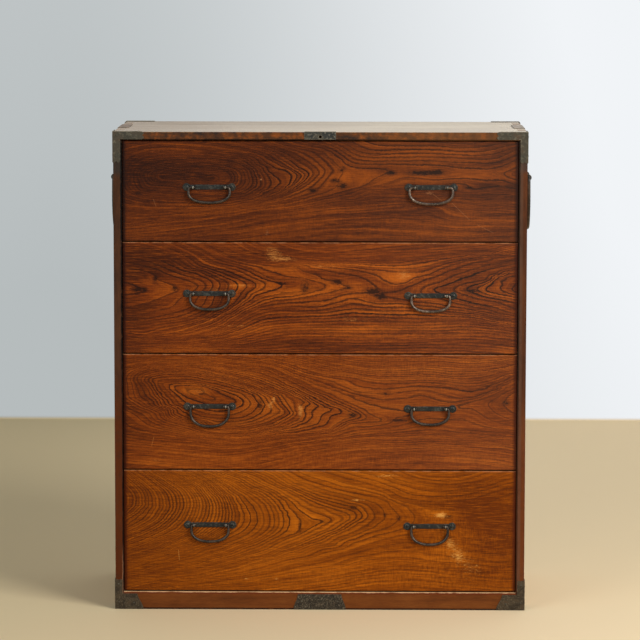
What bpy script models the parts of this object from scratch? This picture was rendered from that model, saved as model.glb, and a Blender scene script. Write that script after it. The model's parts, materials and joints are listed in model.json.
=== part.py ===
"""A four-drawer tansu: a boarded chest with iron corners, four drawers and bail handles.

Metres, +Z up. The front faces -Y and +X is on the viewer's right. The origin is the middle of the
footprint, handles included, on the floor. Touching pieces keep a gap of FIT to each other.
"""

import math

import bmesh
import bpy
from mathutils import Vector

# Gaps shared by every joint
FIT = 0.0003
CUT = 0.005  # how far a cutter runs past the wood it cuts

# Carcass boards
CARCASS_WIDTH = 0.906
CARCASS_DEPTH = 0.438
BOARD = 0.018
FACING = 0.008  # the hardwood strips that cover the front edges of the boards
BOTTOM_RAIL_HEIGHT = 0.039
BOTTOM_BOARD = 0.012
SHELF = 0.010
DADO = 0.006
PANEL = 0.008
REBATE = 0.009
FINGERS = 7
STILE_CHAMFER = 0.0025
TOP_RAIL_CHAMFER = 0.002
BOTTOM_RAIL_CHAMFER = 0.004

# Drawers, from the top one down
DRAWER_FRONT_HEIGHTS = (0.221, 0.246, 0.257, 0.271)
RECESS = 0.004  # how far the drawers' faces lie behind the frame
FRONT = 0.020
FRONT_GAP = 0.0015
SIDE_GAP = 0.0015
SLIDE_GAP = 0.0004
HEAD_CLEARANCE = 0.004
REAR_CLEARANCE = 0.012
LIP = 0.005  # how far a front hangs below the shelf that its drawer slides on
END_CHAMFER = 0.005
EDGE_CHAMFER = 0.002
CHAMFER_DEPTH = 0.002
BOX_INSET = 0.0005
DRAWER_SIDE = 0.012
DRAWER_BACK = 0.010
DRAWER_BACK_DROP = 0.004
DRAWER_BOTTOM = 0.007
LAP = 0.010
GROOVE = 0.005

# Drawer handles. Each height is a share of its front, measured down from the top edge.
HANDLE_SPREAD = 0.486
HANDLE_HEIGHT_SHARES = ((0.457, 0.457), (0.459, 0.474), (0.450, 0.466), (0.450, 0.457))
HINGE_STANDOFF = 0.0065
PLATE = 0.0015
STRAP_HALF_HEIGHT = 0.0055
LOBE_RADIUS = 0.0085
PLATE_HALF_LENGTH = 0.058
POST_SPREAD = 0.0706
EYE_RADIUS = 0.0050
EYE_BORE = 0.0031
EYE_LENGTH = 0.0034
SHANK = 0.0034
SHANK_CLEARANCE = 0.0004
CLINCH = 0.002
CLINCH_REACH = 0.011

# Drawer bails: each was forged by hand, so widths and drops differ as shares of one nominal bail
BAIL_HALF_WIDTH = 0.0422
BAIL_DROP = 0.035
BAIL_SHOULDER = 0.012
BAIL_BAR = 0.0032
BAIL_TIP = 0.0025
BAIL_KNOB = 0.0036
KNOB_LENGTH = 0.0032
BAIL_WIDTH_SHARES = ((1.07, 1.12), (1.00, 1.00), (1.00, 0.97), (0.97, 0.955))
BAIL_DROP_SHARES = ((0.97, 1.03), (0.99, 0.99), (1.26, 0.99), (1.05, 1.15))
BAIL_SQUARENESS = 2.3
SHOULDER_SQUARENESS = 3.0

# Carrying handles on the sides
SIDE_HINGE_DROP = 0.110
SIDE_STANDOFF = 0.0105
SIDE_POST_SPREAD = 0.098
SIDE_EYE_RADIUS = 0.0074
SIDE_EYE_BORE = 0.0049
SIDE_EYE_LENGTH = 0.0062
SIDE_SHANK = 0.0056
SIDE_CLINCH_POCKET = 0.0045
SIDE_PLATE_HALF_WIDTH = 0.065
SIDE_PLATE_BELOW_HINGE = 0.020
SIDE_PLATE_FOLD = 0.025
SIDE_BAIL_HALF_WIDTH = 0.062
SIDE_BAIL_DROP = 0.115
SIDE_BAIL_SHOULDER = 0.014
SIDE_BAIL_BAR = 0.0048
SIDE_BAIL_TIP = 0.0042
SIDE_BAIL_KNOB = 0.0056
SIDE_KNOB_LENGTH = 0.005

# Iron fittings on the frame
IRON = 0.0012
CORNER_ARM = 0.065
CORNER_SIDE_ARM_WIDTH = 0.022
CORNER_FOLD = 0.014
CORNER_SCALLOP = 0.004
BOTTOM_ARM = 0.0635
BOTTOM_ARM_SLOPE = 0.014
FLOOR_GAP = 0.0005
REAR_TOP_LEAF = 0.022
REAR_BACK_FOLD = 0.012
LOCK_PLATE_HALF_WIDTH = 0.0345
LOCK_PLATE_FOLD = 0.009
FOOT_PLATE_HALF_WIDTH = 0.058
FOOT_PLATE_SLOPE = 0.010
SOCKET_RADIUS = 0.0035
SOCKET_DROP = 0.0100
SOCKET_DEPTH = 0.030

# Facets of round shapes
EYE_SIDES = 12
LOBE_STEPS = 12
BEND_STEPS = 8
SHOULDER_STEPS = 5
END_STEPS = 6
BAIL_BEVEL_RESOLUTION = 2

# Planes and places worked out from the sizes above
DRAWER_COUNT = len(DRAWER_FRONT_HEIGHTS)
HEIGHT = BOTTOM_RAIL_HEIGHT + sum(DRAWER_FRONT_HEIGHTS) + (DRAWER_COUNT + 1) * FRONT_GAP + BOARD
HANDLES_PROUD = HINGE_STANDOFF + EYE_RADIUS - RECESS
REAR_PROUD = FIT + IRON
FRAME_Y = (HANDLES_PROUD - CARCASS_DEPTH - REAR_PROUD) / 2  # front plane of the frame
REAR_Y = FRAME_Y + CARCASS_DEPTH
FACE_Y = FRAME_Y + RECESS
SHELF_Y = FACE_Y + FRONT + FIT  # front edge of the shelves, just behind the drawer fronts
BOARD_Y = FRAME_Y + FACING + FIT  # front edge of the top and side boards
PANEL_Y = REAR_Y - PANEL
OUTER_X = CARCASS_WIDTH / 2
INNER_X = OUTER_X - BOARD
CEILING = HEIGHT - BOARD
FRONT_X = INNER_X - SIDE_GAP
BOX_X = FRONT_X - BOX_INSET
BOX_REAR_Y = PANEL_Y - REAR_CLEARANCE
BOX_TOP_DROP = SHELF - LIP + SLIDE_GAP - FRONT_GAP + HEAD_CLEARANCE
IRON_Y = FRAME_Y - FIT - IRON  # outer face of the irons on the front
IRON_X = OUTER_X + FIT + IRON
IRON_TOP = HEIGHT + FIT + IRON
SIDES = (("left", -1), ("right", 1))


def clear_scene():
    for obj in list(bpy.data.objects):
        bpy.data.objects.remove(obj)


def material(name, colour, roughness, metallic):
    """A Principled material in one colour."""
    made = bpy.data.materials.new(name)
    made.use_nodes = True
    shader = made.node_tree.nodes["Principled BSDF"]
    shader.inputs["Base Color"].default_value = (*colour, 1.0)
    shader.inputs["Roughness"].default_value = roughness
    shader.inputs["Metallic"].default_value = metallic
    return made


def add_object(name, data, finish=None):
    obj = bpy.data.objects.new(name, data)
    bpy.context.scene.collection.objects.link(obj)
    if finish and not data.materials:
        data.materials.append(finish)
    return obj


def mesh_from(bm, name):
    """Turns a closed bmesh into a mesh whose faces point out."""
    bmesh.ops.recalc_face_normals(bm, faces=bm.faces)
    mesh = bpy.data.meshes.new(name)
    bm.to_mesh(mesh)
    bm.free()
    return mesh


def block(name, low, high, finish=None):
    """A rectangular board between two corners, with its origin at its middle."""
    low, high = Vector(map(min, low, high)), Vector(map(max, low, high))
    bm = bmesh.new()
    bmesh.ops.create_cube(bm, size=1)
    for vert in bm.verts:
        vert.co = vert.co * (high - low)
    obj = add_object(name, mesh_from(bm, name), finish)
    obj.location = (low + high) / 2
    return obj


def prism(name, outline, axis, start, end, finish=None):
    """An outline drawn across an axis and extruded along it from start to end.

    The outline's two coordinates are the two other axes in X, Y, Z order.
    """
    def place(point, along):
        co = list(point)
        co.insert("XYZ".index(axis), along)
        return Vector(co)

    bm = bmesh.new()
    face = bm.faces.new([bm.verts.new(place(point, start)) for point in outline])
    made = bmesh.ops.extrude_face_region(bm, geom=[face])["geom"]
    moved = [item for item in made if isinstance(item, bmesh.types.BMVert)]
    bmesh.ops.translate(bm, verts=moved, vec=place((0, 0), end) - place((0, 0), start))
    return add_object(name, mesh_from(bm, name), finish)


def rod(name, axis, centre, radius, start, end):
    """A faceted cylinder along an axis, with a corner of its outline on the outline's first axis."""
    turns = [2 * math.pi * k / EYE_SIDES for k in range(EYE_SIDES)]
    outline = [(centre[0] + radius * math.cos(a), centre[1] + radius * math.sin(a)) for a in turns]
    return prism(name, outline, axis, start, end)


def combine(obj, others, operation):
    """Joins other objects to this one, or cuts them from it, and drops them."""
    for other in others:
        modifier = obj.modifiers.new(other.name, "BOOLEAN")
        modifier.operation = operation
        modifier.object = other
    bpy.context.view_layer.update()
    graph = bpy.context.evaluated_depsgraph_get()
    obj.data = bpy.data.meshes.new_from_object(obj.evaluated_get(graph))
    obj.modifiers.clear()
    for other in others:
        bpy.data.objects.remove(other)
    return obj


def cut(obj, cutters):
    return combine(obj, cutters, "DIFFERENCE")


def join(obj, others):
    return combine(obj, others, "UNION")


def attach(obj, parent):
    """Parents an object to an empty, leaving it where it is."""
    obj.parent = parent
    obj.location = obj.location - parent.location
    return obj


def empty_at(name, place):
    guide = add_object(name, None)
    guide.location = place
    return guide


def drawer_floor(index):
    """Height of the lower edge of a drawer's front, counting drawers from the top."""
    fronts = DRAWER_FRONT_HEIGHTS[: index + 1]
    return CEILING - sum(fronts) - len(fronts) * FRONT_GAP


def finger_bounds(index):
    """Where one finger of the corner joint starts and ends, with half the gap on each side."""
    pitch = (REAR_Y - BOARD_Y) / FINGERS
    start = BOARD_Y + index * pitch - FIT / 2
    end = BOARD_Y + (index + 1) * pitch + FIT / 2
    if index == 0:
        start -= CUT
    if index == FINGERS - 1:
        end += CUT
    return start, end


def socket_cutter(start, end):
    """The round socket for a locking pin, in the middle of the top rail."""
    return rod("socket", "Y", (0, HEIGHT - SOCKET_DROP), SOCKET_RADIUS, start, end)


def make_top_board(finish):
    """The top, whose ends have fingers that lock into the side boards."""
    top = block("top_board", (-OUTER_X, BOARD_Y, CEILING), (OUTER_X, REAR_Y, HEIGHT), finish)
    cutters = [
        block("rebate", (-INNER_X - REBATE, PANEL_Y - FIT, CEILING - CUT),
              (INNER_X + REBATE, REAR_Y + CUT, CEILING + REBATE)),
        socket_cutter(BOARD_Y - CUT, FRAME_Y + SOCKET_DEPTH),
    ]
    for index in range(1, FINGERS, 2):
        start, end = finger_bounds(index)
        for _, side in SIDES:
            cutters.append(block("notch", (side * (INNER_X - FIT), start, CEILING - CUT),
                                 (side * (OUTER_X + CUT), end, HEIGHT + CUT)))
    return cut(top, cutters)


def shelf_levels():
    """(lowest, highest) of each shelf, then of the bottom board, from the top down."""
    levels = []
    for index in range(DRAWER_COUNT):
        top = drawer_floor(index) + LIP - SLIDE_GAP
        thickness = BOTTOM_BOARD if index == DRAWER_COUNT - 1 else SHELF
        levels.append((top - thickness, top))
    return levels


def side_hinge_y():
    """The carrying handles sit half way along the sides."""
    return (FRAME_Y + REAR_Y) / 2


def make_side_board(word, side, finish):
    """A side, with fingers at its top end, dados for the shelves and a rebate for the back panel."""
    board = block(f"side_board_{word}", (side * INNER_X, BOARD_Y, 0),
                  (side * OUTER_X, REAR_Y, HEIGHT), finish)
    cutters = [
        block("rebate", (side * (INNER_X - CUT), PANEL_Y - FIT, -CUT),
              (side * (INNER_X + REBATE), REAR_Y + CUT, HEIGHT + CUT)),
    ]
    for low, high in shelf_levels():
        cutters.append(block("dado", (side * (INNER_X - CUT), SHELF_Y - FIT, low - FIT),
                             (side * (INNER_X + DADO), PANEL_Y, high + FIT)))
    for index in range(0, FINGERS, 2):
        start, end = finger_bounds(index)
        cutters.append(block("notch", (side * (INNER_X - CUT), start, CEILING - FIT),
                             (side * (OUTER_X + CUT), end, HEIGHT + CUT)))
    hole = SIDE_SHANK / 2 + SHANK_CLEARANCE
    level = HEIGHT - SIDE_HINGE_DROP
    for _, end in SIDES:
        y = side_hinge_y() + end * SIDE_POST_SPREAD / 2
        cutters.append(block("shank_hole", (side * (INNER_X - CUT), y - hole, level - hole),
                             (side * (OUTER_X + CUT), y + hole, level + hole)))
        cutters.append(block("clinch_pocket", (side * (INNER_X - CUT), y - hole, level - CLINCH_REACH - FIT),
                             (side * (INNER_X + SIDE_CLINCH_POCKET), y + hole, level + CLINCH_REACH + FIT)))
    return cut(board, cutters)


def make_carcass(softwood, hardwood):
    make_top_board(softwood)
    for word, side in SIDES:
        make_side_board(word, side, softwood)
    for index, (low, high) in enumerate(shelf_levels()):
        name = "bottom_board" if index == DRAWER_COUNT - 1 else f"shelf_{index + 1}"
        reach = INNER_X + DADO - FIT
        block(name, (-reach, SHELF_Y, low), (reach, PANEL_Y - FIT, high), softwood)
    reach = INNER_X + REBATE - FIT
    block("back_panel", (-reach, PANEL_Y, 0), (reach, REAR_Y, CEILING + REBATE - FIT), softwood)
    make_frame(hardwood)


def make_frame(finish):
    """The rails and stiles seen from the front, each with its inner corner planed off."""
    strip_y = FRAME_Y + FACING
    chamfer = TOP_RAIL_CHAMFER
    section = [(FRAME_Y, HEIGHT), (strip_y, HEIGHT), (strip_y, CEILING),
               (FRAME_Y + chamfer, CEILING), (FRAME_Y, CEILING + chamfer)]
    rail = prism("top_rail", section, "X", -OUTER_X, OUTER_X, finish)
    cut(rail, [socket_cutter(FRAME_Y - CUT, strip_y + CUT)])
    chamfer = STILE_CHAMFER
    for word, side in SIDES:
        section = [(side * OUTER_X, FRAME_Y), (side * OUTER_X, strip_y), (side * INNER_X, strip_y),
                   (side * INNER_X, FRAME_Y + chamfer), (side * (INNER_X + chamfer), FRAME_Y)]
        prism(f"stile_{word}", section, "Z", 0, CEILING - FIT, finish)
    chamfer = BOTTOM_RAIL_CHAMFER
    back = FACE_Y + FRONT
    top = BOTTOM_RAIL_HEIGHT
    section = [(FRAME_Y, 0), (back, 0), (back, top), (FRAME_Y + chamfer, top), (FRAME_Y, top - chamfer)]
    prism("bottom_rail", section, "X", FIT - INNER_X, INNER_X - FIT, finish)


def chamfered_front(name, floor, height, finish):
    """A drawer front whose four face edges are planed off, wider at the ends than along the grain."""
    front = block(name, (-FRONT_X, FACE_Y + CHAMFER_DEPTH, floor),
                  (FRONT_X, FACE_Y + FRONT, floor + height), finish)
    bm = bmesh.new()
    bm.from_mesh(front.data)
    face = min(bm.faces, key=lambda f: f.calc_center_median().y)
    made = bmesh.ops.extrude_face_region(bm, geom=[face])["geom"]
    bmesh.ops.delete(bm, geom=[face], context="FACES_ONLY")
    for vert in [item for item in made if isinstance(item, bmesh.types.BMVert)]:
        vert.co.y -= CHAMFER_DEPTH
        vert.co.x -= math.copysign(END_CHAMFER, vert.co.x)
        vert.co.z -= math.copysign(EDGE_CHAMFER, vert.co.z)
    bmesh.ops.recalc_face_normals(bm, faces=bm.faces)
    bm.to_mesh(front.data)
    bm.free()
    return front


def handle_places(index):
    """(word, x, z) of the two handles' hinge lines on one drawer."""
    top = drawer_floor(index) + DRAWER_FRONT_HEIGHTS[index]
    return [(word, side * HANDLE_SPREAD / 2, top - share * DRAWER_FRONT_HEIGHTS[index])
            for (word, side), share in zip(SIDES, HANDLE_HEIGHT_SHARES[index])]


def make_drawer(index, hardwood, softwood):
    """The five boards of one drawer: the sides are lapped into the front and stand on the bottom."""
    name = f"drawer_{index + 1}"
    floor = drawer_floor(index)
    height = DRAWER_FRONT_HEIGHTS[index]
    under = floor + LIP
    over = under + DRAWER_BOTTOM
    top = floor + height - BOX_TOP_DROP
    back_y = FACE_Y + FRONT
    slide = empty_at(f"{name}_slide", (0, back_y, under))

    front = chamfered_front(f"{name}_front", floor, height, hardwood)
    cutters = [block("groove", (-BOX_X, back_y - GROOVE - FIT, under - FIT),
                     (BOX_X, back_y + CUT, over + FIT))]
    for _, side in SIDES:
        cutters.append(block("lap", (side * (BOX_X - DRAWER_SIDE - FIT), back_y - LAP - FIT, under - FIT),
                             (side * (FRONT_X + CUT), back_y + CUT, top + FIT)))
    hole = SHANK / 2 + SHANK_CLEARANCE
    for _, x, z in handle_places(index):
        for _, end in SIDES:
            post = x + end * POST_SPREAD / 2
            cutters.append(block("shank_hole", (post - hole, FACE_Y - CUT, z - hole),
                                 (post + hole, back_y + CUT, z + hole)))
    boards = [cut(front, cutters)]
    for word, side in SIDES:
        boards.append(block(f"{name}_side_{word}", (side * (BOX_X - DRAWER_SIDE), back_y - LAP, over + FIT),
                            (side * BOX_X, BOX_REAR_Y, top), softwood))
    reach = BOX_X - DRAWER_SIDE - FIT
    boards.append(block(f"{name}_back", (-reach, BOX_REAR_Y - DRAWER_BACK, over + FIT),
                        (reach, BOX_REAR_Y, top - DRAWER_BACK_DROP), softwood))
    reach = BOX_X - FIT
    boards.append(block(f"{name}_bottom", (-reach, back_y - GROOVE, under),
                        (reach, BOX_REAR_Y, over), softwood))
    for board in boards:
        attach(board, slide)
    return slide


def lobed_outline():
    """A narrow strap with a round lobe at each end, in X and Z about the hinge line's middle."""
    centre = PLATE_HALF_LENGTH - LOBE_RADIUS
    neck = math.pi - math.asin(STRAP_HALF_HEIGHT / LOBE_RADIUS)
    outline = []
    for _, side in reversed(SIDES):
        for step in range(LOBE_STEPS + 1):
            angle = neck - 2 * neck * step / LOBE_STEPS
            x = centre + LOBE_RADIUS * math.cos(angle)
            outline.append((side * x, side * LOBE_RADIUS * math.sin(angle)))
    return outline


def handle_plate_mesh(finish):
    """A drawer handle's back plate with its two eye posts, whose shanks are clinched behind the front.

    The hinge line runs along X through the origin, and the drawer's face is HINGE_STANDOFF behind it.
    """
    back = HINGE_STANDOFF - FIT
    inside = HINGE_STANDOFF + FRONT + FIT
    plate = prism("plate", lobed_outline(), "Y", back - PLATE, back, finish)
    posts = []
    for _, side in SIDES:
        x = side * POST_SPREAD / 2
        low, high = x - EYE_LENGTH / 2, x + EYE_LENGTH / 2
        eye = rod("eye", "X", (0, 0), EYE_RADIUS, low, high)
        cut(eye, [rod("bore", "X", (0, 0), EYE_BORE, low - CUT, high + CUT)])
        posts.append(eye)
        half = SHANK / 2
        posts.append(block("shank", (x - half, back - PLATE / 2, -half),
                           (x + half, inside + CLINCH / 2, half)))
        posts.append(block("clinch", (x - half, inside, -CLINCH_REACH),
                           (x + half, inside + CLINCH, CLINCH_REACH)))
    join(plate, posts)
    mesh = plate.data
    bpy.data.objects.remove(plate)
    return mesh


def eye_faces(spread, length):
    """How far the outer and the inner face of an eye lie from the middle of its handle, gaps included."""
    return (spread + length) / 2 + FIT, (spread - length) / 2 - FIT


def quarter_bend(centre, reach, rise, squareness, steps):
    """Points of a quarter of a rounded rectangle, from straight below its centre round to its side."""
    points = []
    for step in range(steps + 1):
        angle = math.pi / 2 * step / steps
        out = math.sin(angle) ** (2 / squareness)
        down = math.cos(angle) ** (2 / squareness)
        points.append((centre[0] + reach * out, centre[1] + rise * down))
    return points


def bail_path(eye, half_width, shoulder, drop):
    """Half of a bail, as (across, down) points from the middle of its bar to its tip.

    The bar bends up to the arm at the shoulder. There the arm bends in to the eye, and the tip
    passes through the eye along the hinge line. The eye is given as its (outer, inner) faces.
    """
    outer, inner = eye
    points = quarter_bend((0, shoulder), half_width, drop - shoulder, BAIL_SQUARENESS, BEND_STEPS)
    bend = quarter_bend((outer, shoulder), half_width - outer, -shoulder, SHOULDER_SQUARENESS, SHOULDER_STEPS)
    points += bend[-2::-1]
    points.append((inner, 0))
    return points


def make_bail(name, path, radii, knob_length, across, finish):
    """A forged bail: a rod that tapers from its bar to its tips, with a knob on the end of each tip.

    The hinge line runs through the curve's origin, along X or Y. Radii are of bar, tip and knob.
    """
    bar, tip, knob = radii
    drop = path[0][1]
    inner = path[-1][0]
    half = [(a, d, tip + (bar - tip) * min(1, 2 * d / drop)) for a, d in path]
    neck = (knob - tip) / 2
    half += [(inner - neck, 0, knob), (inner - knob_length + neck, 0, knob), (inner - knob_length, 0, tip)]
    rings = [(-a, d, radius) for a, d, radius in half[:0:-1]] + half
    curve = bpy.data.curves.new(name, "CURVE")
    curve.dimensions = "3D"
    curve.bevel_depth = 1
    curve.bevel_resolution = BAIL_BEVEL_RESOLUTION
    curve.use_fill_caps = True
    spline = curve.splines.new("POLY")
    spline.points.add(len(rings) - 1)
    for point, (a, d, radius) in zip(spline.points, rings):
        point.co = (a, 0, -d, 1) if across == "X" else (0, a, -d, 1)
        point.radius = radius
    return add_object(name, curve, finish)


def make_drawer_handles(index, slide, mesh, finish):
    """Two plates and two bails on one drawer."""
    for turn, (word, x, z) in enumerate(handle_places(index)):
        hinge = (x, FACE_Y - HINGE_STANDOFF, z)
        plate = add_object(f"drawer_{index + 1}_handle_plate_{word}", mesh, finish)
        plate.location = hinge
        attach(plate, slide)
        half_width = BAIL_HALF_WIDTH * BAIL_WIDTH_SHARES[index][turn]
        drop = BAIL_DROP * BAIL_DROP_SHARES[index][turn]
        path = bail_path(eye_faces(POST_SPREAD, EYE_LENGTH), half_width, BAIL_SHOULDER, drop)
        bail = make_bail(f"drawer_{index + 1}_bail_{word}", path, (BAIL_BAR, BAIL_TIP, BAIL_KNOB),
                         KNOB_LENGTH, "X", finish)
        bail.location = hinge
        attach(bail, slide)


def s_curve(start, end):
    """Points of a slightly double-curved edge from one corner to another, ends included."""
    points = []
    for step in range(END_STEPS + 1):
        t = step / END_STEPS
        swing = t - math.sin(2 * math.pi * t) / (4 * math.pi)
        points.append((start[0] + (end[0] - start[0]) * swing, start[1] + (end[1] - start[1]) * t))
    return points


def scalloped_end(start, end, depth):
    """Points of an edge with two shallow scallops that meet in a cusp, ends included."""
    (ax, az), (bx, bz) = start, end
    length = math.dist(start, end)
    nx, nz = (bz - az) / length, (ax - bx) / length
    points = []
    for step in range(END_STEPS + 1):
        t = step / END_STEPS
        hollow = depth * abs(math.sin(2 * math.pi * t))
        points.append((ax + (bx - ax) * t - nx * hollow, az + (bz - az) * t - nz * hollow))
    return points


def top_corner_outline(arm_width, rail_width, far):
    """An L with its corner at (0, 0), one arm along +first axis and one down -second axis."""
    outline = [(0, 0)]
    outline += scalloped_end((far, -rail_width), (far, 0), -CORNER_SCALLOP)[::-1]
    outline += [(arm_width, -rail_width)]
    outline += scalloped_end((arm_width, -far), (0, -far), CORNER_SCALLOP)
    return outline


def placed(outline, origin, flip=1):
    """An outline moved to a corner, its first axis turned round when flip is -1."""
    return [(origin[0] + flip * a, origin[1] + b) for a, b in outline]


def make_top_corner_iron(word, side, finish):
    """A bent corner sheet: an L on the front, an L on the side and a fold over the top."""
    wrap = FIT + IRON
    front = top_corner_outline(BOARD - STILE_CHAMFER + wrap, BOARD - TOP_RAIL_CHAMFER + wrap, CORNER_ARM)
    iron = prism(f"corner_iron_top_{word}", placed(front, (side * IRON_X, IRON_TOP), -side), "Y",
                 IRON_Y, FRAME_Y - FIT, finish)
    flank = top_corner_outline(CORNER_SIDE_ARM_WIDTH, CORNER_SIDE_ARM_WIDTH, CORNER_ARM)
    leaf = prism("flank", placed(flank, (IRON_Y, IRON_TOP)), "X", side * (OUTER_X + FIT), side * IRON_X)
    fold = block("fold", (side * IRON_X, IRON_Y, HEIGHT + FIT),
                 (side * (IRON_X - CORNER_ARM + CORNER_SCALLOP), FRAME_Y + CORNER_FOLD, IRON_TOP))
    return join(iron, [leaf, fold])


def bottom_corner_outline(arm_width, scallop):
    """An L with its corner at (0, 0): a short arm up, and an arm along the rail with a sloping end."""
    rail_top = BOTTOM_RAIL_HEIGHT - BOTTOM_RAIL_CHAMFER - FIT
    outline = [(0, FLOOR_GAP)]
    outline += scalloped_end((0, CORNER_ARM), (arm_width, CORNER_ARM), scallop)
    outline += [(arm_width, rail_top)]
    outline += s_curve((BOTTOM_ARM - BOTTOM_ARM_SLOPE, rail_top), (BOTTOM_ARM, FLOOR_GAP))
    return outline


def make_bottom_corner_iron(word, side, finish):
    """A bent corner sheet at the foot: one L on the front and a wider one on the side."""
    front = bottom_corner_outline(BOARD - STILE_CHAMFER + FIT + IRON, CORNER_SCALLOP / 2)
    iron = prism(f"corner_iron_bottom_{word}", placed(front, (side * IRON_X, 0), -side), "Y",
                 IRON_Y, FRAME_Y - FIT, finish)
    flank = bottom_corner_outline(CORNER_SIDE_ARM_WIDTH, CORNER_SCALLOP)
    leaf = prism("flank", placed(flank, (IRON_Y, 0)), "X", side * (OUTER_X + FIT), side * IRON_X)
    return join(iron, [leaf])


def make_rear_corner_iron(word, side, finish):
    """The corner sheet at the back: an L on the side, a leaf on the top and a fold down the back."""
    rear = REAR_Y + FIT + IRON
    flank = top_corner_outline(CORNER_SIDE_ARM_WIDTH, CORNER_SIDE_ARM_WIDTH, CORNER_ARM)
    iron = prism(f"rear_corner_iron_{word}", placed(flank, (rear, IRON_TOP), -1), "X",
                 side * (OUTER_X + FIT), side * IRON_X, finish)
    end = side * (IRON_X - CORNER_ARM)
    top_leaf = block("top_leaf", (side * IRON_X, rear, HEIGHT + FIT),
                     (end, rear - REAR_TOP_LEAF, IRON_TOP))
    back_fold = block("back_fold", (side * IRON_X, REAR_Y + FIT, IRON_TOP),
                      (end, rear, IRON_TOP - REAR_BACK_FOLD))
    return join(iron, [top_leaf, back_fold])


def make_lock_plate(finish):
    """The plate in the middle of the top rail, with a round socket for a locking pin."""
    half = LOCK_PLATE_HALF_WIDTH
    low = CEILING + TOP_RAIL_CHAMFER + FIT
    plate = block("lock_plate", (-half, IRON_Y, low), (half, FRAME_Y - FIT, IRON_TOP), finish)
    fold = block("fold", (-half, IRON_Y, HEIGHT + FIT), (half, FRAME_Y + LOCK_PLATE_FOLD, IRON_TOP))
    join(plate, [fold])
    return cut(plate, [socket_cutter(IRON_Y - CUT, FRAME_Y + CUT)])


def make_foot_plate(finish):
    """The plate in the middle of the bottom rail, wider at the floor than at the top."""
    top = BOTTOM_RAIL_HEIGHT - BOTTOM_RAIL_CHAMFER - FIT
    end = s_curve((FOOT_PLATE_HALF_WIDTH - FOOT_PLATE_SLOPE, top), (FOOT_PLATE_HALF_WIDTH, FLOOR_GAP))
    outline = end + [(-x, z) for x, z in reversed(end)]
    return prism("foot_plate", outline, "Y", IRON_Y, FRAME_Y - FIT, finish)


def make_side_handle(word, side, finish):
    """A carrying handle: a sheet folded over the top edge, two eye posts through it and a bail."""
    y = side_hinge_y()
    level = HEIGHT - SIDE_HINGE_DROP
    axis_x = OUTER_X + SIDE_STANDOFF
    half = SIDE_PLATE_HALF_WIDTH
    low = level - SIDE_PLATE_BELOW_HINGE
    edge = scalloped_end((y + half, low), (y - half, low), -CORNER_SCALLOP)
    outline = [(y - half, IRON_TOP), (y + half, IRON_TOP)] + edge
    plate = prism(f"side_handle_plate_{word}", outline, "X", side * (OUTER_X + FIT), side * IRON_X, finish)
    fold = block("fold", (side * IRON_X, y - half, HEIGHT + FIT),
                 (side * (IRON_X - SIDE_PLATE_FOLD), y + half, IRON_TOP))
    posts = [fold]
    pocket = INNER_X + FIT
    for _, end in SIDES:
        middle = y + end * SIDE_POST_SPREAD / 2
        start, stop = middle - SIDE_EYE_LENGTH / 2, middle + SIDE_EYE_LENGTH / 2
        eye = rod("eye", "Y", (side * axis_x, level), SIDE_EYE_RADIUS, start, stop)
        cut(eye, [rod("bore", "Y", (side * axis_x, level), SIDE_EYE_BORE, start - CUT, stop + CUT)])
        posts.append(eye)
        thick = SIDE_SHANK / 2
        posts.append(block("neck", (side * (axis_x - SIDE_EYE_BORE - FIT), middle - thick, level - thick),
                           (side * pocket, middle + thick, level + thick)))
        posts.append(block("clinch", (side * pocket, middle - thick, level - CLINCH_REACH),
                           (side * (pocket + CLINCH), middle + thick, level + CLINCH_REACH)))
    join(plate, posts)
    path = bail_path(eye_faces(SIDE_POST_SPREAD, SIDE_EYE_LENGTH), SIDE_BAIL_HALF_WIDTH,
                     SIDE_BAIL_SHOULDER, SIDE_BAIL_DROP)
    bail = make_bail(f"side_bail_{word}", path, (SIDE_BAIL_BAR, SIDE_BAIL_TIP, SIDE_BAIL_KNOB),
                     SIDE_KNOB_LENGTH, "Y", finish)
    bail.location = (side * axis_x, y, level)


def main():
    clear_scene()
    lacquered = material("lacquered_hardwood", (0.17, 0.052, 0.018), 0.38, 0.0)
    framing = material("dark_frame_wood", (0.07, 0.028, 0.018), 0.45, 0.0)
    cedar = material("pale_cedar", (0.52, 0.42, 0.32), 0.75, 0.0)
    iron = material("blackened_iron", (0.055, 0.052, 0.045), 0.5, 0.85)
    make_carcass(cedar, framing)
    for word, side in SIDES:
        make_top_corner_iron(word, side, iron)
        make_bottom_corner_iron(word, side, iron)
        make_rear_corner_iron(word, side, iron)
        make_side_handle(word, side, iron)
    make_lock_plate(iron)
    make_foot_plate(iron)
    plate_mesh = handle_plate_mesh(iron)
    for index in range(DRAWER_COUNT):
        slide = make_drawer(index, lacquered, cedar)
        make_drawer_handles(index, slide, plate_mesh, iron)


main()
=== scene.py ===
# %% [markdown]
# # A tansu chest of drawers
#
# The chest is a softwood box faced with hardwood strips. Four drawers with strongly figured fronts slide
# in it, and each is pulled by two forged bails. Bent iron sheets guard its corners.
#
# The solid frame comes first. It is the measured part, and it never moves: it carries every piece that
# is made here, and it says where the joints turn. Pieces could also be set by eye against a picture, but
# then they would come off at another angle, so each piece here takes its place from a box of the frame.

import json
import math
from collections import namedtuple
from functools import reduce

import bmesh
import bpy
import numpy as np
from mathutils import Matrix, Vector


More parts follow.
